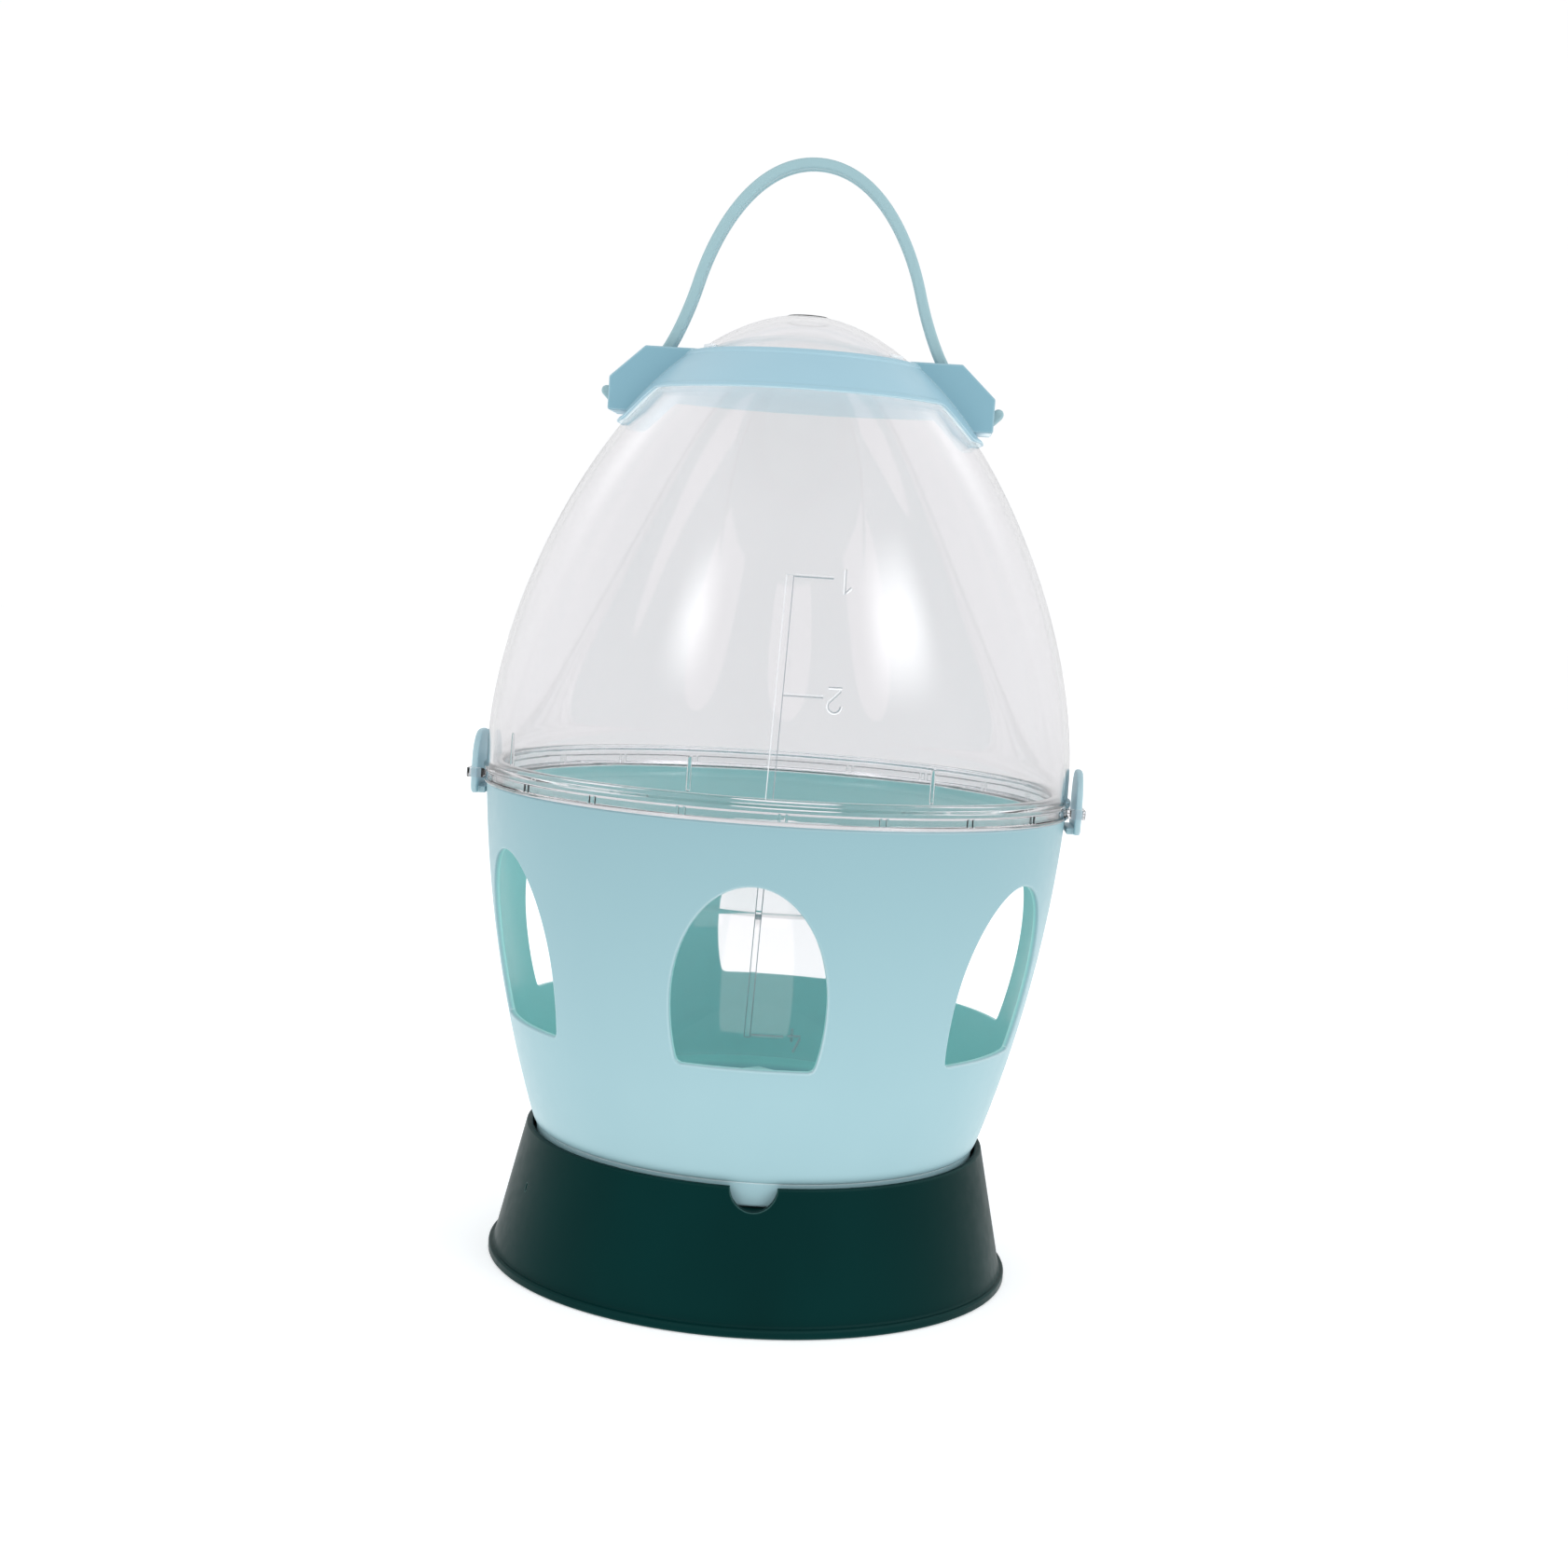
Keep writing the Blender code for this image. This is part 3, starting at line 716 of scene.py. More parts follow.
def dark_green_plastic():
    # the third colour is a painted highlight along the edges, such as the base's lip
    return moulded_plastic("dark_green_plastic", srgb(1, 44, 43), srgb(1, 36, 35), srgb(70, 104, 102),
                           shine=0.04)


# ---- base ----
def base_radius(z):
    """Outer radius of the conical wall."""
    share = (BASE_TOP - z) / (BASE_TOP - BASE_LIP_HEIGHT)
    return BASE_TOP_RADIUS + (BASE_FOOT_RADIUS - BASE_TOP_RADIUS) * share


def base_piece(look):
    inside = base_radius(BASE_TOP) - BASE_WALL
    under = LEDGE_TOP - LEDGE_THICKNESS
    corners = [
        (BASE_LIP_RADIUS, 0, 0.5 * MM),
        (BASE_LIP_RADIUS, BASE_LIP_HEIGHT, 0.8 * MM),
        (BASE_FOOT_RADIUS, BASE_LIP_HEIGHT, 0.8 * MM),
        (base_radius(BASE_TOP), BASE_TOP, 0.7 * MM),
        (inside, BASE_TOP, 0.7 * MM),
        (base_radius(LEDGE_TOP) - BASE_WALL, LEDGE_TOP, 0.4 * MM),
        (LEDGE_RADIUS, LEDGE_TOP, 0.5 * MM),
        (LEDGE_RADIUS, under, 0.5 * MM),
        (base_radius(under) - BASE_WALL, under, 0.4 * MM),
        (base_radius(0) - BASE_WALL, 0, 0.5 * MM),
    ]
    ring = mesh_object("base_shell", turned(finer(rounded(corners), ROW)))
    reach = BASE_LIP_RADIUS + 5 * MM
    cuts = []
    for turn in (0, math.pi):
        notch = cylinder_y(NOTCH_RADIUS, 0, BASE_TOP, -reach, -LEDGE_RADIUS - 2 * MM, 64)
        cuts.append(spin(notch, BASE_TURN + turn))
    slit = rounded_box((-SLIT_SIZE[0] / 2, -reach, SLIT_BOTTOM),
                       (SLIT_SIZE[0] / 2, -LEDGE_RADIUS, SLIT_BOTTOM + SLIT_SIZE[1]), 0.3 * MM)
    cuts.append(spin(slit, SLIT_TURN))
    combine(ring, cuts, "DIFFERENCE")
    show(ring, [look], "base", "base_ring")


# ---- bowl ----
BOWL_BELLY = (95.7 * MM, 104 * MM)
BOWL_FOOT = (BOWL_FOOT_RADIUS, BOWL_FOOT_TOP)
BOWL_SHELL = Shell(bezier([(BOWL_RIM_RADIUS, BOWL_RIM), BOWL_BELLY, BOWL_FOOT], 120))
SECTOR = math.pi / WINDOWS  # half of the angle that each window has to itself
ACROSS = COLUMNS // WINDOWS  # columns across one sector
UPRIGHT = 56  # rows up each side of a sector
RINGS = 12  # rows from a window's edge out to its sector's edge
CROWDING = 1.35  # above 1, those rows are closer together near the window


def window_edge():
    """The egg-shaped arch with its flat sill, as (x, z) points from the sill's right end."""
    def on_arch(angle, reach):
        return (WINDOW_HALF_WIDTH * math.cos(angle), WINDOW_MIDDLE + reach * math.sin(angle))

    drop = WINDOW_MIDDLE - WINDOW_SILL
    side = WINDOW_HALF_WIDTH * math.sqrt(1 - (drop / WINDOW_DROP) ** 2)
    narrow = math.sqrt(1 - ((drop - WINDOW_CORNER) / WINDOW_DROP) ** 2)
    low_side = WINDOW_HALF_WIDTH * narrow
    right = bezier([(side - WINDOW_CORNER, WINDOW_SILL), (side, WINDOW_SILL),
                    (low_side, WINDOW_SILL + WINDOW_CORNER)], 8)
    steps = 40
    start = math.asin((drop - WINDOW_CORNER) / WINDOW_DROP)
    for step in range(1, steps):
        right.append(on_arch(-start * (1 - step / steps), WINDOW_DROP))
    for step in range(steps + 1):
        right.append(on_arch(math.pi / 2 * step / steps, WINDOW_TOP - WINDOW_MIDDLE))
    left = [(-x, z) for x, z in reversed(right[:-1])]
    return finer(right + left + [right[0]], 0.8 * MM)[:-1]


def sector_frame():
    """The edge of one sector as (angle, z) points, anticlockwise from its lower right corner."""
    low, high = WINDOW_FIELD
    corners = [(SECTOR, low), (SECTOR, high), (-SECTOR, high), (-SECTOR, low)]
    points = []
    for side, (angle, z) in enumerate(corners):
        next_angle, next_z = corners[(side + 1) % 4]
        count = ACROSS if side % 2 else UPRIGHT
        for row in range(count):
            points.append((angle + (next_angle - angle) * row / count, z + (next_z - z) * row / count))
    return points


def window_points(border):
    """Where the spoke from the window's centre to each border point crosses the window's edge.

    The points are (angle, z), and the scale that comes with them turns an angle into a length.
    """
    scale = BOWL_SHELL.radius(WINDOW_MIDDLE)
    centre_z = (WINDOW_SILL + WINDOW_TOP) / 2
    edge = [(math.asin(x / BOWL_SHELL.radius(z)) * scale, z) for x, z in window_edge()]
    spokes = [math.atan2(z - centre_z, x) for x, z in edge]
    found = []
    for angle, z in border:
        spoke = math.atan2(z - centre_z, angle * scale)
        x, up = [float(np.interp(spoke, spokes, side, period=2 * math.pi)) for side in zip(*edge)]
        found.append((x / scale, up))
    return found, scale


def window_sector(bm, turn):
    """The wall around one window: both skins and the rounded edge between them."""
    inside = bm.verts.layers.float["inside"]
    border = sector_frame()
    inner, scale = window_points(border)
    count = len(border)
    outward = []
    for index in range(count):
        before = inner[index - 1]
        after = inner[(index + 1) % count]
        along = Vector(((after[0] - before[0]) * scale, after[1] - before[1])).normalized()
        outward.append((along.y / scale, -along.x))
    # each loop: distance from the window's edge, share of the way to the border, depth in the wall
    loops = []
    for step in range(RINGS + 1):
        loops.append((WINDOW_ROUND, ((RINGS - step) / RINGS) ** CROWDING, 0.0))
    for step in range(1, 2 * ROUND_STEPS):
        angle = math.pi / 2 * step / ROUND_STEPS
        depth = WINDOW_ROUND * (1 - math.cos(angle))
        if step > ROUND_STEPS:
            depth = BOWL_WALL - WINDOW_ROUND * (1 + math.cos(angle))
        loops.append((WINDOW_ROUND * (1 - math.sin(angle)), 0.0, depth))
    for step in range(RINGS + 1):
        loops.append((WINDOW_ROUND, (step / RINGS) ** CROWDING, BOWL_WALL))
    rows = []
    for away, share, depth in loops:
        row = []
        for index in range(count):
            angle = inner[index][0] + outward[index][0] * away
            z = inner[index][1] + outward[index][1] * away
            angle += (border[index][0] - angle) * share
            z += (border[index][1] - z) * share
            vert = bm.verts.new(BOWL_SHELL.point(angle + turn, z, -depth))
            # marks the inner skin, which the teal plastic paints with its inside colour and glow:
            # painted light
            vert[inside] = 1.0 if depth > BOWL_WALL / 2 else 0.0
            row.append(vert)
        rows.append(row)
    for first, second in zip(rows, rows[1:]):
        join_loops(bm, first, second)


def shell_rows(z_start, z_end, depth, steps):
    """(radius, z) points along the bowl's wall at a depth below its outer skin."""
    points = []
    for step in range(steps + 1):
        x, y, z = BOWL_SHELL.point(0, z_start + (z_end - z_start) * step / steps, -depth)
        points.append((-y, z))
    return points


def bowl_rim():
    """(radius, z) points over the rim, from the windows' band outside to the same inside."""
    high = WINDOW_FIELD[1]
    rim_inside = BOWL_RIM_RADIUS - BOWL_WALL
    points = shell_rows(high, BOWL_RIM - 0.8 * MM, 0, 8)
    points += rounded([(*points[-1], 0), (BOWL_RIM_RADIUS, BOWL_RIM, 0.6 * MM),
                       (rim_inside, BOWL_RIM, 0.6 * MM), (rim_inside, BOWL_RIM - 1.2 * MM, 0)],
                      closed=False)[1:]
    return points + shell_rows(BOWL_RIM - 1.6 * MM, high, BOWL_WALL, 8)


def bowl_foot():
    """(radius, z) points round the foot and the floor, from the windows' band outside to inside."""
    low = WINDOW_FIELD[0]
    tip_edge = CONE_TOP - CONE_TIP_DROP
    points = shell_rows(low, BOWL_FOOT_TOP, 0, 24)
    points += bezier([BOWL_FOOT, (BOWL_FOOT_RADIUS - 1 * MM, BOWL_FOOT_LOW + 0.2 * MM),
                      (PLUG_RADIUS, BOWL_FOOT_LOW)], 6)[1:]
    points += rounded([(PLUG_RADIUS, BOWL_FOOT_LOW, 0), (PLUG_RADIUS, BOWL_LOW.z, 1 * MM),
                       (CONE_FOOT_RADIUS - BOWL_WALL, BOWL_LOW.z, 3 * MM),
                       (CONE_TIP_RADIUS, tip_edge - BOWL_WALL, 6 * MM),
                       (0, CONE_TOP - BOWL_WALL, 0)], closed=False)[1:]
    points += rounded([(0, CONE_TOP, 0), (CONE_TIP_RADIUS, tip_edge, 6 * MM),
                       (CONE_FOOT_RADIUS, FLOOR_TOP, 3 * MM),
                       (PLUG_RADIUS - BOWL_WALL, FLOOR_TOP, 3 * MM),
                       (PLUG_RADIUS - 0.5 * MM, BOWL_FOOT_TOP, 0)], closed=False)
    return points + shell_rows(BOWL_FOOT_TOP + 2 * MM, low, BOWL_WALL, 24)


def bowl_piece(look):
    bm = bmesh.new()
    turned(bowl_rim(), closed=False, bm=bm)
    inside = bm.verts.layers.float.new("inside")
    turned(bowl_foot(), closed=False, bm=bm)
    # marks the inside, which the teal plastic paints with its inside colour and glow: painted light
    for vert in bm.verts:
        radius = math.hypot(vert.co.x, vert.co.y)
        skin = BOWL_SHELL.radius(vert.co.z)
        above_floor = vert.co.z > FLOOR_TOP - 0.5 * MM and radius < PLUG_RADIUS - BOWL_WALL / 2
        in_wall = vert.co.z > BOWL_FOOT_TOP and radius < skin - 0.7 * BOWL_WALL
        vert[inside] = 1.0 if above_floor or in_wall else 0.0
    for window in range(WINDOWS):
        window_sector(bm, 2 * SECTOR * window)
    bmesh.ops.remove_doubles(bm, verts=bm.verts, dist=SAME_PLACE)
    show(mesh_object("bowl_shell", bm), [look], "bowl", "feed_bowl")


# ---- latches ----
def latch_piece(label, side, look):
    """A springy tongue with a rounded top, and the short foot that joins it to the bowl."""
    half = LATCH_HIGH.y
    low = LATCH_LOW.z
    top = LATCH_HIGH.z
    outer = LATCH_HIGH.x
    outline = rounded([(-half, low, LATCH_CORNER), (half, low, LATCH_CORNER),
                       (half, top, LATCH_CROWN), (-half, top, LATCH_CROWN)])
    near, far = sorted((side * outer, side * (outer - LATCH_THICKNESS)))
    tab = mesh_object(f"{label}_latch_tab", plate(outline, near, far, 0.7 * MM, "X", 4))
    near, far = sorted((side * LATCH_LOW.x, side * (outer - LATCH_THICKNESS / 2)))
    foot = rounded_box((near, -half + LATCH_CORNER, low + 0.1 * MM),
                       (far, half - LATCH_CORNER, low + LATCH_FOOT_HEIGHT), 0.5 * MM)
    combine(tab, [foot], "UNION")
    show(tab, [look], f"{label}_latch", f"{label}_latch")


# ---- tank ----
DOME_CURVE = bezier([(TANK_RADIUS, DOME_START), DOME_SIDE, (DOME_CROWN, TANK_TOP), (0, TANK_TOP)], 110)
DOME_SHELL = Shell([(TANK_RADIUS, FLANGE_TOP)] + DOME_CURVE)
NECK_SHELL = Shell([(NECK_RADIUS, NECK_RIM), (NECK_RADIUS, NECK_TOP), (HOPPER_RADIUS, HOPPER_START)])


def on_shell(shell, turn):
    """Maps (sideways, up, lift) to a point on a turned surface, around the direction turn."""
    def place(sideways, up, lift):
        return shell.point(turn + sideways / max(shell.radius(up), 10 * MM), up, lift)
    return place


def digit(number, x, z):
    """The strokes of a plain upside-down digit whose centre is at (x, z); no two strokes touch."""
    high = DIGIT_HEIGHT / 2
    wide = DIGIT_HEIGHT * 0.28
    clear = LINE_WIDTH * 0.62
    if number == 1:
        strokes = [[(0, high), (0, -high)], [(-wide, high * 0.5), (-clear, high * 0.9)]]
    elif number == 2:
        bow = []
        steps = 12
        for step in range(steps + 1):
            angle = math.pi * (1 - 1.2 * step / steps)
            bow.append((wide * math.cos(angle), high - wide + wide * math.sin(angle)))
        strokes = [bow + [(-wide * 0.8, -high + clear * 1.5)], [(-wide, -high), (wide, -high)]]
    else:
        bar = -high * 0.35
        stem = wide * 0.35
        strokes = [[(0, high), (-wide, bar + clear * 1.3)], [(-wide, bar), (wide, bar)],
                   [(stem, high * 0.1), (stem, bar + clear)], [(stem, bar - clear), (stem, -high)]]
    return [[(x - a, z - b) for a, b in stroke] for stroke in strokes]


def scale_lines(shell, low, top, width, tick_length, ticks):
    """A leaning rib with a tick and a digit at each of the (height, number) ticks."""
    place = on_shell(shell, SCALE_TURN)

    def line(path, step, width, height):
        return raised_line(place, finer(path, step), width, height)

    def rib_x(z):
        return -0.15 * MM - SCALE_LEAN * (SCALE_TICKS[0] - z)

    lines = [line([(rib_x(low), low), (rib_x(top), top)], 3 * MM, width, 0.55 * MM)]
    for z, number in ticks:
        start = rib_x(z) + width / 2 + 0.1 * MM
        end = start + tick_length
        lines.append(line([(start, z), (end, z)], 1 * MM, LINE_WIDTH, 0.45 * MM))
        for stroke in digit(number, end + 3.5 * MM, z - 1 * MM):
            lines.append(line(stroke, 0.8 * MM, LINE_WIDTH * 0.9, 0.4 * MM))
    return lines


def keeper(side):
    """The clear block beside the flange that a latch goes through."""
    near, far = sorted((side * (TANK_RADIUS - TANK_WALL / 2), side * KEEPER_END))
    return rounded_box((near, -KEEPER_HALF_WIDTH, FLANGE_BOTTOM),
                       (far, KEEPER_HALF_WIDTH, KEEPER_TOP), 0.3 * MM)


def keeper_slot(side):
    near, far = sorted((side * SLOT_INNER, side * (KEEPER_END - KEEPER_SKIN)))
    return rounded_box((near, -SLOT_HALF_WIDTH, FLANGE_BOTTOM - 2 * MM),
                       (far, SLOT_HALF_WIDTH, KEEPER_TOP + 2 * MM), 0)


def lug(degrees):
    """A small block that holds the collar down."""
    length, width, height = LUG_SIZE
    z = COLLAR_TOP + 2 * COLLAR_GAP
    start = DOME_SHELL.radius(z + height) - TANK_WALL / 2
    block = rounded_box((start, -width / 2, z), (start + length, width / 2, z + height), 0.4 * MM)
    return spin(marked(block, 1), math.radians(degrees))


def locating_rib(turn):
    """A short upright rib on the dome's inner wall."""
    radius = TANK_RADIUS - TANK_WALL
    bm = rounded_box((-0.6 * MM, -radius - 0.4 * MM, HOPPER_TOP + 0.6 * MM),
                     (0.6 * MM, -radius + 0.9 * MM, HOPPER_TOP + 11 * MM), 0.35 * MM)
    return spin(bm, turn)


def gate_ring():
    """The round mark that the mould's gate leaves on the crown."""
    inner = GATE_RADIUS - 0.6 * MM
    outer = GATE_RADIUS + 0.6 * MM
    crown = list(reversed(DOME_CURVE))
    skin = float(np.interp(GATE_RADIUS, [radius for radius, _ in crown], [z for _, z in crown]))
    top = skin + 0.2 * MM
    low = top - 1.2 * MM
    soft = 0.3 * MM
    return turned(rounded([(inner, low, 0), (outer, low, 0), (outer, top, soft), (inner, top, soft)]))


def flange_mark(turn):
    """A pair of small ribs on the flange's outer face."""
    half = 0.4 * MM
    shapes = []
    for offset in (-1.1 * MM, 1.1 * MM):
        rib = rounded_box((offset - half, -FLANGE_RADIUS - 0.35 * MM, FLANGE_BOTTOM + 0.6 * MM),
                          (offset + half, -FLANGE_RADIUS + 0.6 * MM, FLANGE_TOP - 0.3 * MM), 0.25 * MM)
        shapes.append(spin(rib, turn))
    return shapes


def flange_outline():
    """(radius, z) points round the tank's lower edge, with a proud bead above and below."""
    inside = TANK_RADIUS - TANK_WALL
    proud = FLANGE_RADIUS + BEAD
    groove = FLANGE_RADIUS - 0.2 * MM
    return rounded([
        (inside, DOME_START, 0),
        (inside, FLANGE_BOTTOM, 0.4 * MM),
        (proud, FLANGE_BOTTOM, 0.5 * MM),
        (proud, FLANGE_BOTTOM + 1.0 * MM, 0.45 * MM),
        (groove, FLANGE_BOTTOM + 1.5 * MM, 0.3 * MM),
        (groove, FLANGE_TOP - 1.2 * MM, 0.3 * MM),
        (proud, FLANGE_TOP - 0.8 * MM, 0.5 * MM),
        (proud, FLANGE_TOP + 0.6 * MM, 0.65 * MM),
        (TANK_RADIUS, FLANGE_TOP + FLANGE_SHOULDER, 0.5 * MM),
        (TANK_RADIUS, DOME_START, 0),
    ], closed=False)


def dome_piece(looks):
    inner = offset_curve(DOME_CURVE, TANK_WALL)
    inner[-1] = (0, TANK_TOP - TANK_WALL)
    outline = list(reversed(inner))[:-1] + flange_outline() + DOME_CURVE[1:]
    dome = mesh_object("clear_dome", turned(outline))
    shapes = [keeper(-1), keeper(1)]
    shapes += [lug(degrees) for degrees in LUG_ANGLES]
    shapes += [locating_rib(math.radians(-58 + 45 * number)) for number in range(LOCATING_RIBS)]
    for number in range(FLANGE_MARKS):
        turn = SCALE_TURN + math.radians(1.4 + 360 / FLANGE_MARKS * number)
        if abs(math.sin(turn)) < 0.97:  # the latches' keepers are at the sides
            shapes += flange_mark(turn)
    shapes.append(gate_ring())
    ticks = zip(SCALE_TICKS, (1, 2))
    shapes += scale_lines(DOME_SHELL, FLANGE_TOP + 3 * MM, SCALE_TICKS[0], 2.5 * MM, 12 * MM, ticks)
    combine(dome, shapes, "UNION")
    combine(dome, [keeper_slot(-1), keeper_slot(1)], "DIFFERENCE")
    show(dome, looks, "tank", "tank_dome")


def hopper_piece(looks):
    neck_inside = NECK_RADIUS - TANK_WALL
    inside = HOPPER_RADIUS - TANK_WALL
    corners = [
        (HOPPER_SEAM, HOPPER_TOP, 0.8 * MM),
        (HOPPER_SEAM, BOWL_RIM + 1 * MM, 1 * MM),
        (HOPPER_RADIUS, BOWL_RIM, 0.5 * MM),
        (HOPPER_RADIUS, HOPPER_START, 3 * MM),
        (NECK_RADIUS, NECK_TOP, 2 * MM),
        (NECK_RADIUS, NECK_RIM, 0.7 * MM),
        (neck_inside, NECK_RIM, 0.7 * MM),
        (neck_inside, NECK_TOP + TANK_WALL / 2, 3 * MM),
        (inside, HOPPER_START + TANK_WALL / 2, 2 * MM),
        (inside, HOPPER_TOP, 0.8 * MM),
    ]
    hopper = mesh_object("clear_hopper", turned(finer(rounded(corners), ROW)))
    low = NECK_TICK - 0.5 * MM
    top = HOPPER_START - 8 * MM
    shapes = scale_lines(NECK_SHELL, low, top, 2.2 * MM, 10.4 * MM, [(NECK_TICK, 4)])
    combine(hopper, shapes, "UNION")
    show(hopper, looks, "tank", "tank_hopper")


# ---- collar ----
def collar_low(angle):
    """Height of the collar's lower edge; it drops into a skirt below each ear. Angle 0 is +X."""
    from_side = abs(math.remainder(angle, math.pi))
    share = min(max((from_side - SKIRT_HALF_ANGLE) / SKIRT_BLEND + 0.5, 0.0), 1.0)
    smooth = share * share * (3 - 2 * share)
    return SKIRT_BOTTOM + (COLLAR_BOTTOM - SKIRT_BOTTOM) * smooth


def collar_section(low):
    """(lift, z) points around the collar's wall, with a bead along its top and bottom edges."""
    bead = 0.55 * MM
    tall = 1.3 * MM
    inside = COLLAR_GAP
    face = COLLAR_GAP + COLLAR_WALL - 0.35 * MM
    corners = [
        (inside, low, 0.3 * MM),
        (face + bead, low, 0.5 * MM),
        (face + bead, low + tall, 0.5 * MM),
        (face, low + tall + bead, 0.5 * MM),
        (face, COLLAR_TOP - tall - bead, 0.5 * MM),
        (face + bead, COLLAR_TOP - tall, 0.5 * MM),
        (face + bead, COLLAR_TOP, 0.5 * MM),
        (inside, COLLAR_TOP, 0.3 * MM),
    ]
    outline = rounded(corners)
    return finer(outline + [outline[0]], 1.6 * MM)[:-1]


def stretched(z, low):
    """The height of a section point where the band's lower edge is at low."""
    span = COLLAR_TOP - COLLAR_BOTTOM
    share = (COLLAR_TOP - z) / span
    edge = COLLAR_EDGE / span
    if share > 1 - edge:
        return low + (z - COLLAR_BOTTOM)
    if share > edge:
        along = (share - edge) / (1 - 2 * edge)
        return COLLAR_TOP - COLLAR_EDGE - along * (COLLAR_TOP - low - 2 * COLLAR_EDGE)
    return z


def collar_band():
    bm = bmesh.new()
    inside = bm.verts.layers.float.new("inside")
    lines = []
    section = collar_section(COLLAR_BOTTOM)
    for column in range(COLLAR_COLUMNS):
        angle = 2 * math.pi * column / COLLAR_COLUMNS
        low = collar_low(angle)
        line = []
        for lift, level in section:
            z = stretched(level, low)
            radius = DOME_SHELL.radius(z) + lift
            vert = bm.verts.new((radius * math.cos(angle), radius * math.sin(angle), z))
            # marks the band's inside, which the light blue plastic paints with a lighter colour and a
            # glow: painted light
            vert[inside] = 1.0 if lift < COLLAR_GAP + COLLAR_WALL / 2 else 0.0
            line.append(vert)
        lines.append(line)
    join_round(bm, lines, len(section))
    return bm


def ear_plate(side, y_low, y_high):
    """One side plate of an ear; its inner edge ends inside the collar's wall."""
    middle = (y_low + y_high) / 2
    inner = []
    steps = 8
    for step in range(steps + 1):
        z = EAR_BOTTOM + (EAR_TOP - EAR_BOTTOM) * step / steps
        wall_middle = DOME_SHELL.radius(z) + COLLAR_GAP + COLLAR_WALL / 2
        inner.append((side * math.sqrt(wall_middle ** 2 - middle ** 2), z))
    outer = rounded([(inner[-1][0], EAR_TOP, 0), (side * EAR_TOP_END, EAR_TOP, 1 * MM),
                     (side * EAR_END, EAR_CHAMFER_END, 1.2 * MM), (side * EAR_END, EAR_BOTTOM, 0.8 * MM),
                     (inner[0][0], EAR_BOTTOM, 0)], closed=False)
    return marked(plate(inner + outer[1:-1], y_low, y_high, 0.4 * MM), 1)


def collar_piece(looks):
    collar = mesh_object("collar_shell", collar_band())
    inside = EAR_HALF_DEPTH - EAR_PLATE
    reach = inside + EAR_PLATE / 2
    root = DOME_SHELL.radius(EAR_BOTTOM) + COLLAR_GAP + COLLAR_WALL / 4
    shapes = []
    for side in (-1, 1):
        shapes.append(ear_plate(side, -EAR_HALF_DEPTH, -inside))
        shapes.append(ear_plate(side, inside, EAR_HALF_DEPTH))
        near, far = sorted((side * root, side * (EAR_END - 0.2 * MM)))
        shapes.append(rounded_box((near, -reach, EAR_BOTTOM + 0.1 * MM),
                                  (far, reach, EAR_BOTTOM + EAR_FLOOR), 0.2 * MM))
        shapes.append(cylinder_y(PIN_RADIUS, side * PIN_X, PIN_Z, -reach, reach))
    combine(collar, shapes, "UNION")
    show(collar, looks, "tank", "carry_collar")


# ---- strap ----
def strap_path():
    """Centre line of the right half of the strap, from the apex to the hook's tip."""
    def beside_shoulder(rise):
        return (STRAP_SHOULDER[0] - STRAP_LEAN * rise, STRAP_SHOULDER[1] + rise)

    def round_pin(angle):
        return (PIN_X + HOOK_RADIUS * math.cos(angle), PIN_Z + HOOK_RADIUS * math.sin(angle))

    def up_leg(length):
        return (hook_start[0] - math.sin(STRAP_LEG_ANGLE) * length,
                hook_start[1] + math.cos(STRAP_LEG_ANGLE) * length)

    start = math.pi + STRAP_LEG_ANGLE
    hook_start = round_pin(start)
    leg_top = up_leg(STRAP_LEG)
    leg_pull = up_leg(STRAP_LEG + 6 * MM)
    path = bezier([(0, STRAP_APEX), (STRAP_CROWN, STRAP_APEX),
                   beside_shoulder(20 * MM), STRAP_SHOULDER], 48)
    path += bezier([STRAP_SHOULDER, beside_shoulder(-9 * MM), leg_pull, leg_top], 20)[1:]
    steps = 16
    for step in range(steps + 1):
        path.append(round_pin(start + (HOOK_END_ANGLE - start) * step / steps))
    last = path[-1]
    steps = 4
    for step in range(1, steps + 1):
        far = (HOOK_TIP - STRAP_THICKNESS / 2) * step / steps * math.sqrt(0.5)
        path.append((last[0] + far, last[1] + far))
    return path


def strap_section():
    """(across, y) points: a flat strap with rounded corners and a ridge along each edge."""
    top = STRAP_THICKNESS / 2
    wide = STRAP_HALF_WIDTH
    groove = top - 0.35 * MM
    ridge = wide - 2.2 * MM
    slope = wide - 2.8 * MM
    soft = 0.3 * MM
    corners = [
        (top, -wide, 1.0 * MM), (top, -ridge, soft), (groove, -slope, soft),
        (groove, slope, soft), (top, ridge, soft), (top, wide, 1.0 * MM),
        (-top, wide, 1.0 * MM), (-top, ridge, soft), (-groove, slope, soft),
        (-groove, -slope, soft), (-top, -ridge, soft), (-top, -wide, 1.0 * MM),
    ]
    return rounded(corners)


def strap_piece(look):
    half = strap_path()
    path = [(-x, z) for x, z in reversed(half[1:])] + half
    strap = mesh_object("strap_band", sweep(path, strap_section(), 4))
    show(strap, [look], "handle", "handle_strap")


# ---- studio ----
CAMERA_TURN = math.radians(2.9)  # round the object, from the front window
CAMERA_DISTANCE = 777.8 * MM
CAMERA_HEIGHT = 237.7 * MM
CAMERA_PITCH = math.radians(5.27)
CAMERA_YAW = math.radians(0.177)
CAMERA_ROLL = math.radians(3.8)
CAMERA_LENS = 52.04

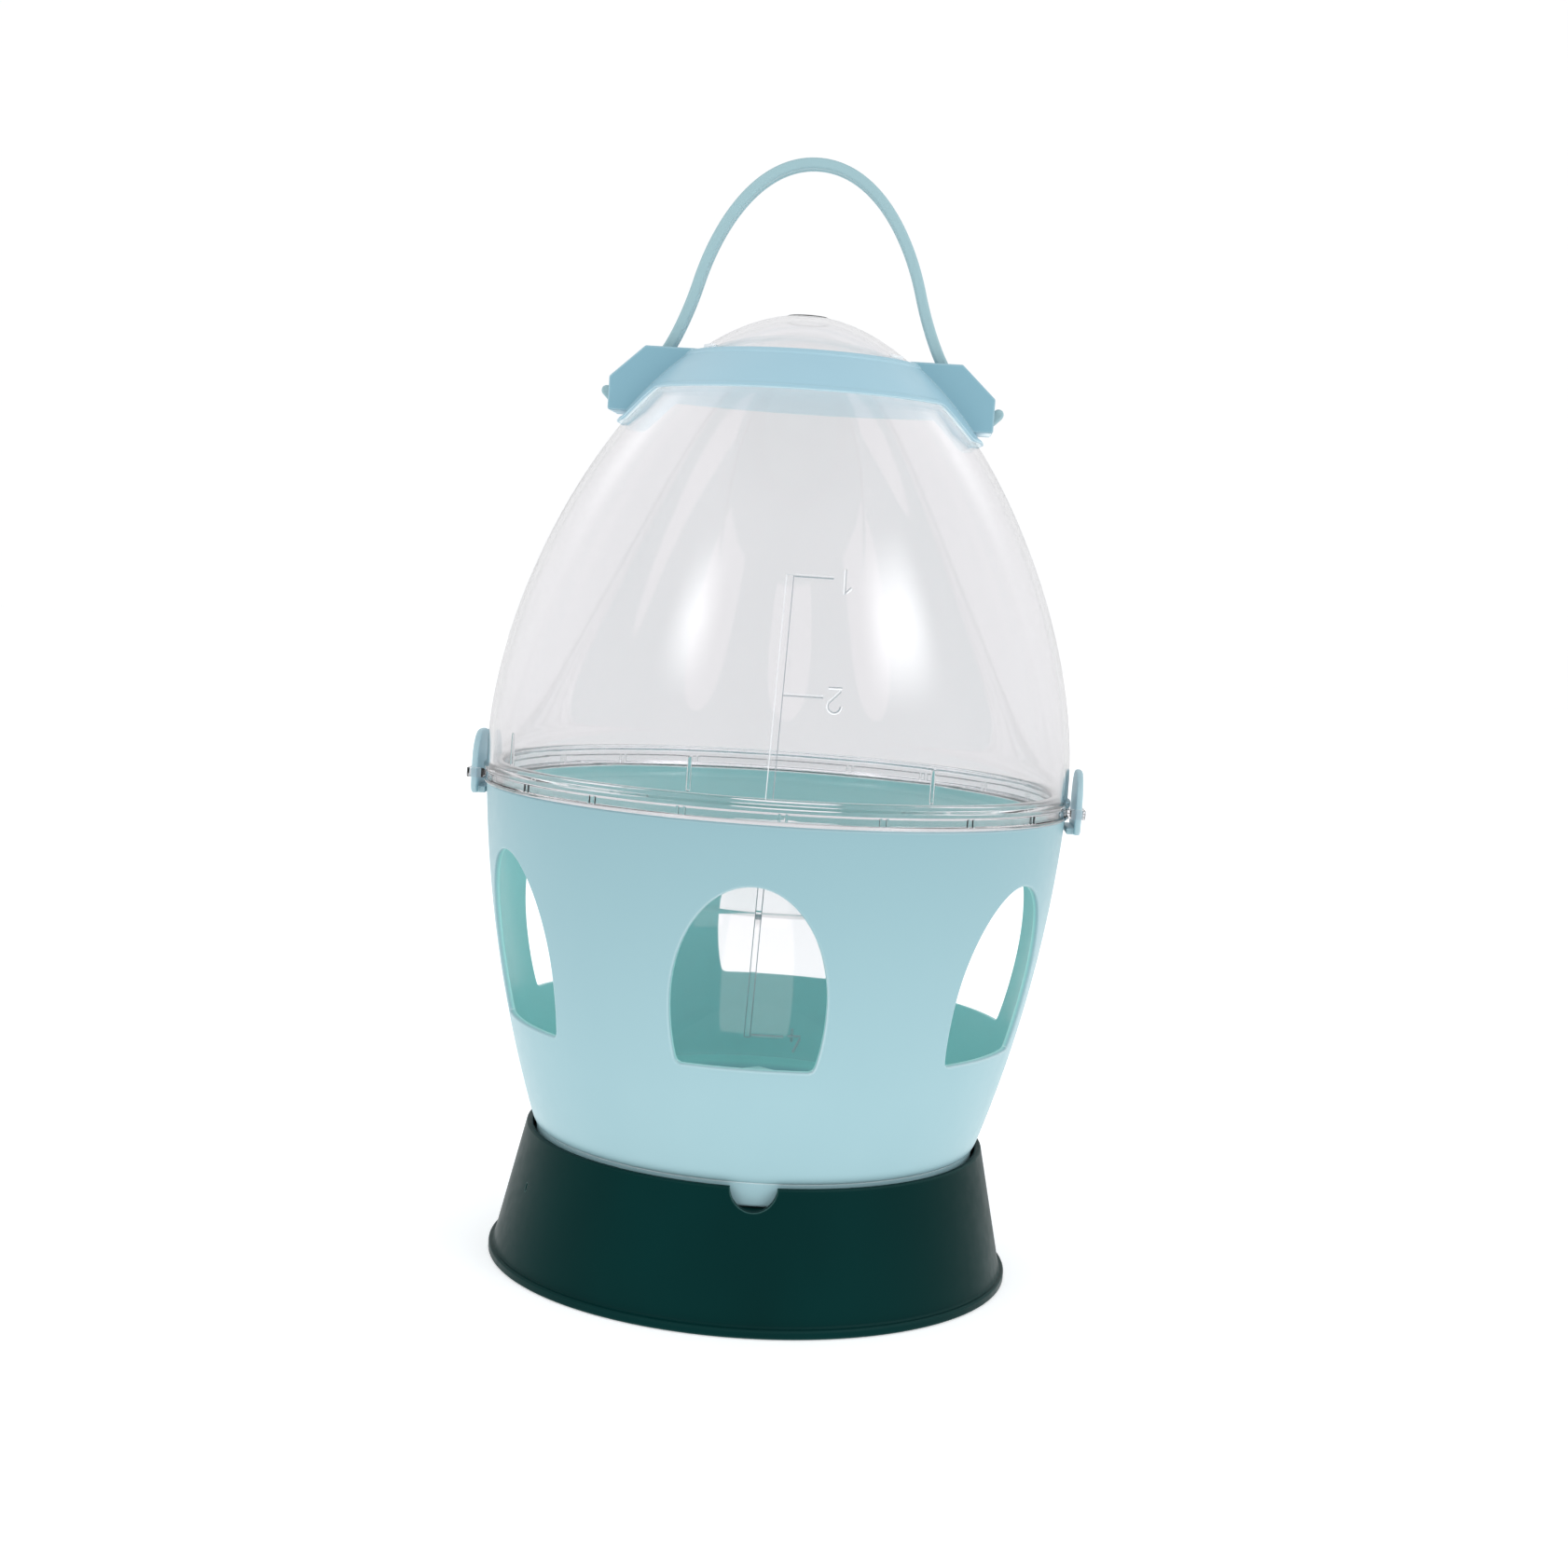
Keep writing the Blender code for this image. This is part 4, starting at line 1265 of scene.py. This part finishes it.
SKY_LEVEL = 0.95  # what the plastics see all round
WHITE_LEVEL = 1.02  # what the camera sees of the sky
CEILING_LEVEL = 0.6  # darker above, which gives the clear edges their grey lines
CEILING_RISE = (0.75, 0.97)  # the heights between which the sky darkens
NEAR_FLOOR = 1.3  # the floor that shows white through the windows
FLOOR_FADE = (0.5, 1.9)  # metres over which the floor falls to the sky's level
FLOOR_RADIUS = 6.0
FLOOR_COLOUR = (0.83, 0.84, 0.85, 1)
FLOOR_GLOW = 0.42  # light added to the floor that the camera sees
SOFT_EDGE = math.radians(9)
SOFTBOXES = [  # turn, rise, half width and half height in degrees; strength
    (-43, 31, 5, 8, 4.5),
    (52, 31, 11, 9, 4.5),
    (180 - 48, 33, 7, 8, 0.6),
    (180 + 48, 33, 7, 8, 0.6),
]


def make_camera():
    data = bpy.data.cameras.new("camera")
    data.lens = CAMERA_LENS
    data.sensor_width = 36
    data.clip_start = 10 * MM
    camera = bpy.data.objects.new("camera", data)
    bpy.context.scene.collection.objects.link(camera)
    place = Matrix.Translation((CAMERA_DISTANCE * math.sin(CAMERA_TURN),
                                -CAMERA_DISTANCE * math.cos(CAMERA_TURN), CAMERA_HEIGHT))
    heading = Matrix.Rotation(CAMERA_TURN - CAMERA_YAW, 4, "Z")
    tilt = Matrix.Rotation(math.pi / 2 - CAMERA_PITCH, 4, "X")
    roll = Matrix.Rotation(CAMERA_ROLL, 4, "Z")
    camera.matrix_world = place @ heading @ tilt @ roll
    bpy.context.scene.camera = camera


def softbox(nodes, direction, turn, rise, half_width, half_height, strength):
    """A soft-edged window of light, as a value to add to the sky's strength."""
    def inside(offset, half):
        distance = nodes.math("ABSOLUTE", offset)
        return nodes.remap(distance, 0.0, 1.0, half + SOFT_EDGE, half - SOFT_EDGE, "SMOOTHSTEP")

    aimed = nodes.add("VectorRotate", {"Vector": direction, "Angle": -turn}, rotation_type="Z_AXIS")
    x, y, z = nodes.add("SeparateXYZ", {"Vector": aimed.outputs[0]}).outputs
    sideways = nodes.math("ARCTAN2", x, nodes.math("MULTIPLY", y, -1.0))
    up = nodes.math("SUBTRACT", nodes.math("ARCSINE", z), rise)
    mask = nodes.math("MULTIPLY", inside(sideways, half_width), inside(up, half_height))
    return nodes.math("MULTIPLY", mask, strength)


def make_sky():
    world = bpy.data.worlds.new("studio")
    bpy.context.scene.world = world
    world.use_nodes = True
    nodes = Nodes(world.node_tree)
    direction = nodes.add("TexCoord").outputs["Generated"]
    height = nodes.add("SeparateXYZ", {"Vector": direction}).outputs[2]
    level = nodes.remap(height, SKY_LEVEL, CEILING_LEVEL, *CEILING_RISE, "SMOOTHSTEP")
    for *angles, strength in SOFTBOXES:
        turn, rise, half_width, half_height = [math.radians(angle) for angle in angles]
        box = softbox(nodes, direction, turn + CAMERA_TURN, rise, half_width, half_height, strength)
        level = nodes.math("ADD", level, box)
    camera_ray = nodes.add("LightPath").outputs["Is Camera Ray"]
    other_ray = nodes.math("SUBTRACT", 1.0, camera_ray)
    strength = nodes.math("ADD", nodes.math("MULTIPLY", level, other_ray),
                          nodes.math("MULTIPLY", camera_ray, WHITE_LEVEL))
    shade = nodes.add("Background", {"Color": COOL_WHITE, "Strength": strength})
    nodes.finish(shade, "OutputWorld")


def make_floor():
    made, nodes = new_material("studio_floor")
    made.cycles.emission_sampling = "NONE"
    bump = nodes.add("Bump", {"Strength": 0.1, "Distance": 0.05 * MM, "Height": nodes.noise(700, 3.0)})
    diffuse = nodes.add("BsdfDiffuse", {"Color": FLOOR_COLOUR, "Normal": bump.outputs[0]})
    paper = nodes.add_up(diffuse, nodes.add("Emission", {"Strength": FLOOR_GLOW}))
    ground = nodes.add("TexCoord").outputs["Object"]
    far = nodes.add("VectorMath", {0: ground}, operation="LENGTH").outputs["Value"]
    near = nodes.remap(far, NEAR_FLOOR, SKY_LEVEL, *FLOOR_FADE, "SMOOTHSTEP")
    seen = nodes.add("Emission", {"Color": COOL_WHITE, "Strength": near})
    camera_ray = nodes.add("LightPath").outputs["Is Camera Ray"]
    nodes.finish(nodes.choose(camera_ray, seen, paper))
    bm = bmesh.new()
    bmesh.ops.create_circle(bm, cap_ends=True, radius=FLOOR_RADIUS, segments=96)
    bmesh.ops.translate(bm, verts=bm.verts, vec=(0, 0, -0.2 * MM))
    floor = mesh_object("floor", bm)
    floor.data.materials.append(made)


def make_studio():
    make_floor()
    make_sky()
    make_camera()
    scene = bpy.context.scene
    scene.view_settings.view_transform = "Standard"
    scene.cycles.use_adaptive_sampling = False
    scene.cycles.max_bounces = 16
    scene.cycles.transmission_bounces = 14
    scene.cycles.transparent_max_bounces = 16


# ---- the feeder ----
def main():
    clear = clear_plastic()
    grey = painted_shade_lines()
    tabs = teal_tab_plastic()
    base_piece(dark_green_plastic())
    bowl_piece(teal_plastic())
    latch_piece("left", -1, tabs)
    latch_piece("right", 1, tabs)
    # the dome's lines get a painted highlight on one flank and painted shade on the other; the hopper's
    # get painted shade on both
    dome_piece([clear, painted_highlight_lines(), grey])
    hopper_piece([clear, grey, grey])
    collar_piece([light_blue_plastic(), light_blue_ear_plastic()])
    strap_piece(flexible_teal_plastic())
    make_studio()


main()
